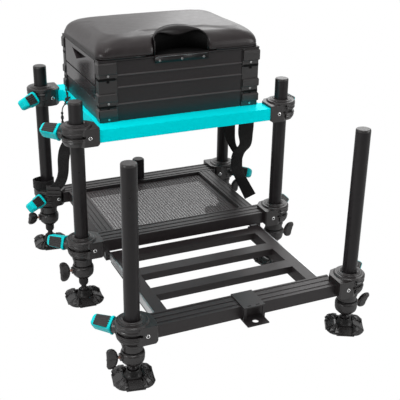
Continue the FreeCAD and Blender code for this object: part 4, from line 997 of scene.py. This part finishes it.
def wing(node, collar, sx, turn):
    """A rounded two-lobed wing with a crease down its middle, on a bright shank."""
    centre = collar + Vector((0, 0, SCREW_RISE))
    cos, sin = math.cos(turn), math.sin(turn)

    def at(u, y, v):
        return centre + Vector((sx * (WING_START + u), y * cos - v * sin, y * sin + v * cos)) / 1000

    def leaf_point(u, v, thick, shrink):
        fullness = 0.62 + 0.48 * min(1.0, abs(v) / 24.0)
        return at(WING_MIDDLE + (u - WING_MIDDLE) * shrink, thick * fullness, v * shrink)

    bm, shank = bmesh.new(), bmesh.new()
    outline = [*WING_OUTLINE, *((u, -v) for u, v in WING_OUTLINE[::-1])]
    skin(bm, [[leaf_point(u, v, *layer) for u, v in outline] for layer in WING_LAYERS])
    skin(bm, [[at(u, y * tall, v) for y, v in RIDGE_SECTION] for u, tall in WING_RIDGE])
    outward(bm)
    turned(shank, WING_SHANK, centre, (sx, 0, 0), 24)
    leaf = new_piece(node + "_leaf", bm, nylon, smooth=False)
    for piece in (leaf, new_piece(node + "_shank", shank, copper)):
        ride(piece, node)
    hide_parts(node)


def leg_fittings():
    places = [(name, sx, leg_point(sx, sy, COLLAR_HEIGHT), "leg_set") for name, sx, sy in CORNERS]
    for name, sx in SIDES:
        centre = footplate_point(sx, FOOTPLATE_COLLAR_HEIGHT)
        places.append(("footplate_" + name, sx, centre, "footplate_leg_" + name))
    for name, sx, centre, body in places:
        for part, profile in (("barrel", COLLAR_BARREL), ("cone", COLLAR_CONE), ("lip", COLLAR_LIP)):
            ring_piece(f"{name}_{part}", profile, centre, body)
        # The groove is a band of painted shade black.
        ring_piece(name + "_groove", COLLAR_GROOVE, centre, body, painted_shade_black)
        wing("wing_screw_" + name, centre, sx, math.radians(WING_TURN.get(name, 0)))


clamp_rings()
leg_fittings()


# Socket screws in the clamps

SCREW_RADIUS = 0.0052
SCREW_INSET = 0.0239
SCREW_FRONT = 0.0378
SCREW_BACK = 0.036


def socket_screw(name, centre, axis, body):
    head, inside = bmesh.new(), bmesh.new()
    radius, hole = SCREW_RADIUS, SCREW_RADIUS * 0.50
    turned(head, [(0, -0.001), (radius, -0.001), (radius, 0.0010), (radius * 0.86, 0.0018), (hole, 0.0018)],
           centre, axis, 24)
    turned(inside, [(hole, 0.0018), (radius * 0.46, 0.0002), (0, 0.0002)], centre, axis, 6)
    ride(new_piece(name, head, zinc), body)
    # The socket's recess is painted shade black.
    ride(new_piece(name + "_socket", inside, painted_shade_black, smooth=False), body)


def clamp_screws():
    for group, bolt, body in FRAMES:
        for end, sx, sy in SIDE_ENDS:
            name = f"{group}_screw_{end}"
            where = leg_point(sx, sy, bolt) + Vector((-sx * SCREW_INSET, sy * SCREW_FRONT, 0))
            socket_screw(name, where, (0, sy, 0), body)
            if sy > 0:
                inner = leg_point(sx, sy, bolt) - Vector((sx * SCREW_INSET, SCREW_BACK, 0))
                socket_screw(name + "_end", inner, (0, -1, 0), body)
    for end, sx in SIDES:
        where = footplate_point(sx, FOOTPLATE_BOLT) - Vector((sx * SCREW_INSET, SCREW_FRONT, 0))
        socket_screw("footplate_screw_" + end, where, (0, -1, 0), "footplate")


clamp_screws()


# Perforated tray floor

MESH_BORDER = 0.0085
MESH_PITCH = (0.0086, 0.0062)
MESH_HOLE = (0.0062, 0.0036)
MESH_THICK = 0.0012
QUAD = ((-1, -1), (1, -1), (1, 1), (-1, 1))
RIM = 0.002


def mesh_floor():
    """A sheet with rows of holes inside a plain border, in the tray's rails."""
    low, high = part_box("tray_mesh_floor")
    top = low[2] + RIM
    counts = [int((high[k] - low[k] - 2 * MESH_BORDER) / MESH_PITCH[k]) for k in (0, 1)]
    start = [(low[k] + high[k] - counts[k] * MESH_PITCH[k]) / 2 for k in (0, 1)]
    bm, rim = bmesh.new(), bmesh.new()

    def at(i, j):
        return bm.verts.new((start[0] + i * MESH_PITCH[0], start[1] + j * MESH_PITCH[1], top))

    def frame_faces(outer, inner):
        for k in range(4):
            n = (k + 1) % 4
            bm.faces.new((outer[k], outer[n], inner[n], inner[k]))

    grid = [[at(i, j) for i in range(counts[0] + 1)] for j in range(counts[1] + 1)]
    half_x, half_y = (MESH_HOLE[k] / MESH_PITCH[k] / 2 for k in (0, 1))
    for j in range(counts[1]):
        for i in range(counts[0]):
            hole = [at(i + 0.5 + sx * half_x, j + 0.5 + sy * half_y) for sx, sy in QUAD]
            frame_faces([grid[j][i], grid[j][i + 1], grid[j + 1][i + 1], grid[j + 1][i]], hole)
    outer = [bm.verts.new((x, y, top)) for x, y in
             ((low[0], low[1]), (high[0], low[1]), (high[0], high[1]), (low[0], high[1]))]
    frame_faces(outer, [grid[0][0], grid[0][-1], grid[-1][-1], grid[-1][0]])
    piece = new_piece("mesh_floor", bm, mesh_steel, smooth=False)
    solidify = piece.modifiers.new("thickness", "SOLIDIFY")
    solidify.thickness = MESH_THICK
    solidify.offset = -1
    apply_modifiers(piece)
    for x_low, x_high, y_low, y_high in (
        (low[0], high[0], low[1], low[1] + RIM), (low[0], high[0], high[1] - RIM, high[1]),
        (low[0], low[0] + RIM, low[1], high[1]), (high[0] - RIM, high[0], low[1], high[1]),
    ):
        box(rim, x_low, x_high, y_low, y_high, top - 0.001, high[2])
    for part in (piece, new_piece("mesh_floor_rim", rim, anodised, smooth=False)):
        ride(part, "tray_frame")
    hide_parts("tray_mesh_floor")


mesh_floor()


# Webbing straps

def smooth_route(points, steps=10):
    """A Catmull-Rom line through the route's points, with the widths carried along."""
    route = []
    count = len(points)
    for index in range(count - 1):
        near = [points[min(max(index + shift, 0), count - 1)] for shift in (-1, 0, 1, 2)]
        for step in range(steps + (index == count - 2)):
            t = step / steps
            route.append([0.5 * ((2 * b) + (c - a) * t + (2 * a - 5 * b + 4 * c - d) * t * t
                                 + (3 * b - a - 3 * c + d) * t ** 3) for a, b, c, d in zip(*near)])
    return route


STRAP_THICK = 0.0024
WEAVE_LENGTH = 0.035


def strap(name, stations):
    """A flat strap: stations are a middle, a width direction and a width, in millimetres."""
    route = smooth_route([(*place(*middle), *Vector(across).normalized(), width / 1000)
                          for middle, across, width in stations])
    middles = [Vector(row[:3]) for row in route]
    bm = bmesh.new()
    uv = bm.loops.layers.uv.new("weave")
    rows = []
    travelled = 0.0
    for index, row in enumerate(route):
        if index:
            travelled += (middles[index] - middles[index - 1]).length
        along = direction(middles, index)
        wide = Vector(row[3:6])
        wide = (wide - along * wide.dot(along)).normalized()
        thick = along.cross(wide).normalized()
        ring = []
        for level, columns in ((0.5, range(9)), (-0.5, range(8, -1, -1))):
            for column in columns:
                across = -1 + column / 4
                lift = level * STRAP_THICK * (1 - 0.55 * abs(across) ** 6)
                point = middles[index] + wide * (row[6] / 2 * across) + thick * lift
                ring.append((bm.verts.new(point), across, travelled))
        rows.append(ring)

    def face(corners):
        made = bm.faces.new([corner[0] for corner in corners])
        for loop, corner in zip(made.loops, corners):
            loop[uv].uv = ((corner[1] + 1) / 2, corner[2] / WEAVE_LENGTH)

    for low, high in zip(rows, rows[1:]):
        for index in range(len(low)):
            following = (index + 1) % len(low)
            face((low[index], low[following], high[following], high[index]))
    face(rows[0][::-1])
    face(rows[-1])
    outward(bm)
    piece = new_piece(name, bm, webbing)
    return piece


STRAP_ACROSS = (0.911, -0.412, 0.0)
SEAM_LEFT = (-266.0, 74.0, 250.0)
SEAM_RIGHT = (268.0, 38.0, 246.0)


def hung_strap(name, stations):
    """A strap through the given stations, its transform baked into its mesh."""
    piece = strap(name, [(middle, STRAP_ACROSS, width) for middle, width in stations])
    place(*stations[0][0])
    place(*stations[-1][0])
    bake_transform(piece)
    return piece


def band_loop(name, centre, semi_x, semi_y, low, high, thick, body):
    """A closed upright band of webbing round a leg."""
    bm = bmesh.new()
    uv = bm.loops.layers.uv.new("weave")
    steps = 40
    rings = []
    for index in range(steps):
        angle = 2 * math.pi * index / steps
        wave = 1.5 * math.sin(2 * angle + 0.6)
        ring = []
        for grow, z in ((0, low), (0, high), (-thick, high), (-thick, low)):
            ring.append(bm.verts.new(place(centre[0] + (semi_x + grow) * math.cos(angle),
                                           centre[1] + (semi_y + grow) * math.sin(angle), z + wave)))
        rings.append(ring)
    for index, ring in enumerate(rings):
        after = rings[(index + 1) % steps]
        for side in range(4):
            made = bm.faces.new((ring[side], after[side], after[(side + 1) % 4], ring[(side + 1) % 4]))
            spots = ((0, index), (0, index + 1), (1, index + 1), (1, index))
            for loop, (across, along) in zip(made.loops, spots):
                loop[uv].uv = (across, along * 0.12)
    outward(bm)
    ride(new_piece(name, bm, webbing, smooth=False), body)


BUCKLE_BARS = ((0.0205, -0.017, 0.017, -0.002, 0.0022), (0.0185, -0.016, -0.0115, 0.002, 0.0052),
               (0.0185, -0.0025, 0.002, 0.002, 0.0056), (0.0185, 0.0110, 0.0155, 0.002, 0.0050))
BUCKLE_DOWN = Vector((-0.12, 0.25, -0.96)).normalized()


def buckle(name, centre, body):
    """A ladder buckle: a flat plate with three raised bars."""
    across = Vector(STRAP_ACROSS).normalized()
    down = (BUCKLE_DOWN - across * BUCKLE_DOWN.dot(across)).normalized()
    out = across.cross(down).normalized()
    if out.y > 0:
        out = -out
    bm = bmesh.new()
    middle = place(*centre)
    for half, start, end, low, high in BUCKLE_BARS:
        skin(bm, [[middle + across * u + down * v + out * w for u, v in
                   ((-half, start), (half, start), (half, end), (-half, end))] for w in (low, high)])
    outward(bm)
    ride(new_piece(name, bm, nylon, smooth=False), body)


def straps():
    left = hung_strap("strap_left", [
        ((-222.0, -30.0, 449.8), 33.0), ((-252.0, -14.0, 400.0), 33.0), ((-269.0, 2.0, 366.0), 33.0),
        ((-270.0, 30.0, 326.0), 32.0), ((-265.0, 60.0, 276.0), 30.0), (SEAM_LEFT, 30.0),
    ])
    hung_strap("strap_left_end", [
        (SEAM_LEFT, 30.0), ((-269.0, 96.0, 224.0), 31.0), ((-277.0, 122.0, 200.0), 33.0),
        ((-284.0, 131.0, 186.0), 33.0),
    ])
    buckle("strap_buckle", (-281.0, 121.0, 195.0), "tray_frame")
    band_loop("strap_loop", (-298.0, 170.0), 31.0, 25.0, 191.0, 216.0, 2.0, "tray_frame")
    hung_strap("strap_right_rear", [
        ((222.0, 14.0, 449.8), 35.0), ((230.0, 24.0, 400.0), 35.0), ((236.0, 31.0, 353.0), 35.0),
        ((245.0, 38.0, 313.0), 28.0), ((257.0, 41.0, 284.0), 21.0), ((268.5, 31.5, 265.0), 21.0),
    ])
    hung_strap("strap_right_front", [
        ((222.0, -80.0, 449.8), 43.0), ((240.0, -68.0, 405.0), 43.0), ((250.0, -48.0, 360.0), 43.0),
        ((266.0, -18.0, 311.0), 35.0), ((266.0, 20.0, 273.5), 35.0), (SEAM_RIGHT, 35.0),
    ])
    hung_strap("strap_right_end", [
        (SEAM_RIGHT, 35.0), ((283.0, 64.0, 203.0), 35.0), ((314.0, 103.0, 156.0), 35.0),
        ((324.0, 104.0, 137.0), 35.0), ((337.0, 92.0, 107.0), 37.0), ((345.0, 84.0, 88.0), 39.0),
    ])
    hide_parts("carry_straps")


straps()


# Cord with a toggle at the left rail

def swept(bm, route, radius, sides=10):
    """Adds a round tube along a route of points."""
    rings = []
    for index, point in enumerate(route):
        along = direction(route, index)
        side = along.cross(Vector((0, 1, 0.01))).normalized()
        other = along.cross(side)
        rings.append([point + (side * x + other * y) * radius for x, y in circle(sides)])
    skin(bm, rings)


CORD_ROUTE = ((-229.7, 92.0, 462.0), (-240.0, 92.5, 461.0), (-246.5, 94.0, 454.0),
              (-249.5, 95.5, 444.0), (-250.0, 96.0, 434.0))
KNOT_STRANDS = (
    ((-232.0, 112.0, 497.0), (-233.5, 98.0, 488.0), (-235.0, 82.0, 474.0), (-234.0, 66.0, 464.0)),
    ((-232.0, 92.0, 494.0), (-234.0, 90.0, 484.0), (-236.0, 94.0, 472.0), (-240.0, 96.0, 462.0)),
    ((-232.0, 70.0, 486.0), (-234.5, 80.0, 480.0), (-236.0, 92.0, 471.0), (-242.0, 96.0, 459.0)),
)
KNOT_MIDDLE = (-236.0, 92.0, 474.0)
SPINDLE = ((0, 0.0050), (0.0030, 0.0035), (0.0037, 0.0), (0.0024, -0.0035), (0.0019, -0.0050),
           (0.0040, -0.0095), (0.0042, -0.0145), (0.0020, -0.0200), (0.0038, -0.0245), (0.0039, -0.0300),
           (0.0017, -0.0360), (0.0011, -0.0390), (0.0010, -0.0400), (0, -0.0400))


def cord_line():
    curve = bpy.data.curves.new("rail_line", "CURVE")
    curve.dimensions = "3D"
    curve.bevel_depth = 0.0015
    curve.bevel_resolution = 3
    spline = curve.splines.new("NURBS")
    spline.points.add(len(CORD_ROUTE) - 1)
    for slot, point in zip(spline.points, CORD_ROUTE):
        slot.co = (*place(*point), 1)
    spline.order_u = 3
    spline.use_endpoint_u = True
    curve.materials.append(cord_black)
    line = bpy.data.objects.new("rail_line", curve)
    bpy.context.scene.collection.objects.link(line)
    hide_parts("rail_cord")
    return ride(line, "seat_frame")


def cord_part(name, bm):
    outward(bm)
    return ride(new_piece(name, bm, cord_black), "seat_frame")


def rail_cord():
    piece = cord_line()
    knot, spindle = bmesh.new(), bmesh.new()
    for strand in KNOT_STRANDS:
        route = smooth_route([place(*point) for point in strand], 6)
        swept(knot, [Vector(point) for point in route], 0.0019)
    middle = Matrix.Translation(place(*KNOT_MIDDLE))
    bmesh.ops.create_icosphere(knot, subdivisions=3, radius=0.0052, matrix=middle)
    turned(spindle, SPINDLE, place(*CORD_ROUTE[-1]), (0, 0, 1), 20)
    cord_part("cord_knot", knot)
    toggle = cord_part("cord_spindle", spindle)
    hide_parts("cord_toggle")
    place(*CORD_ROUTE[0])


rail_cord()
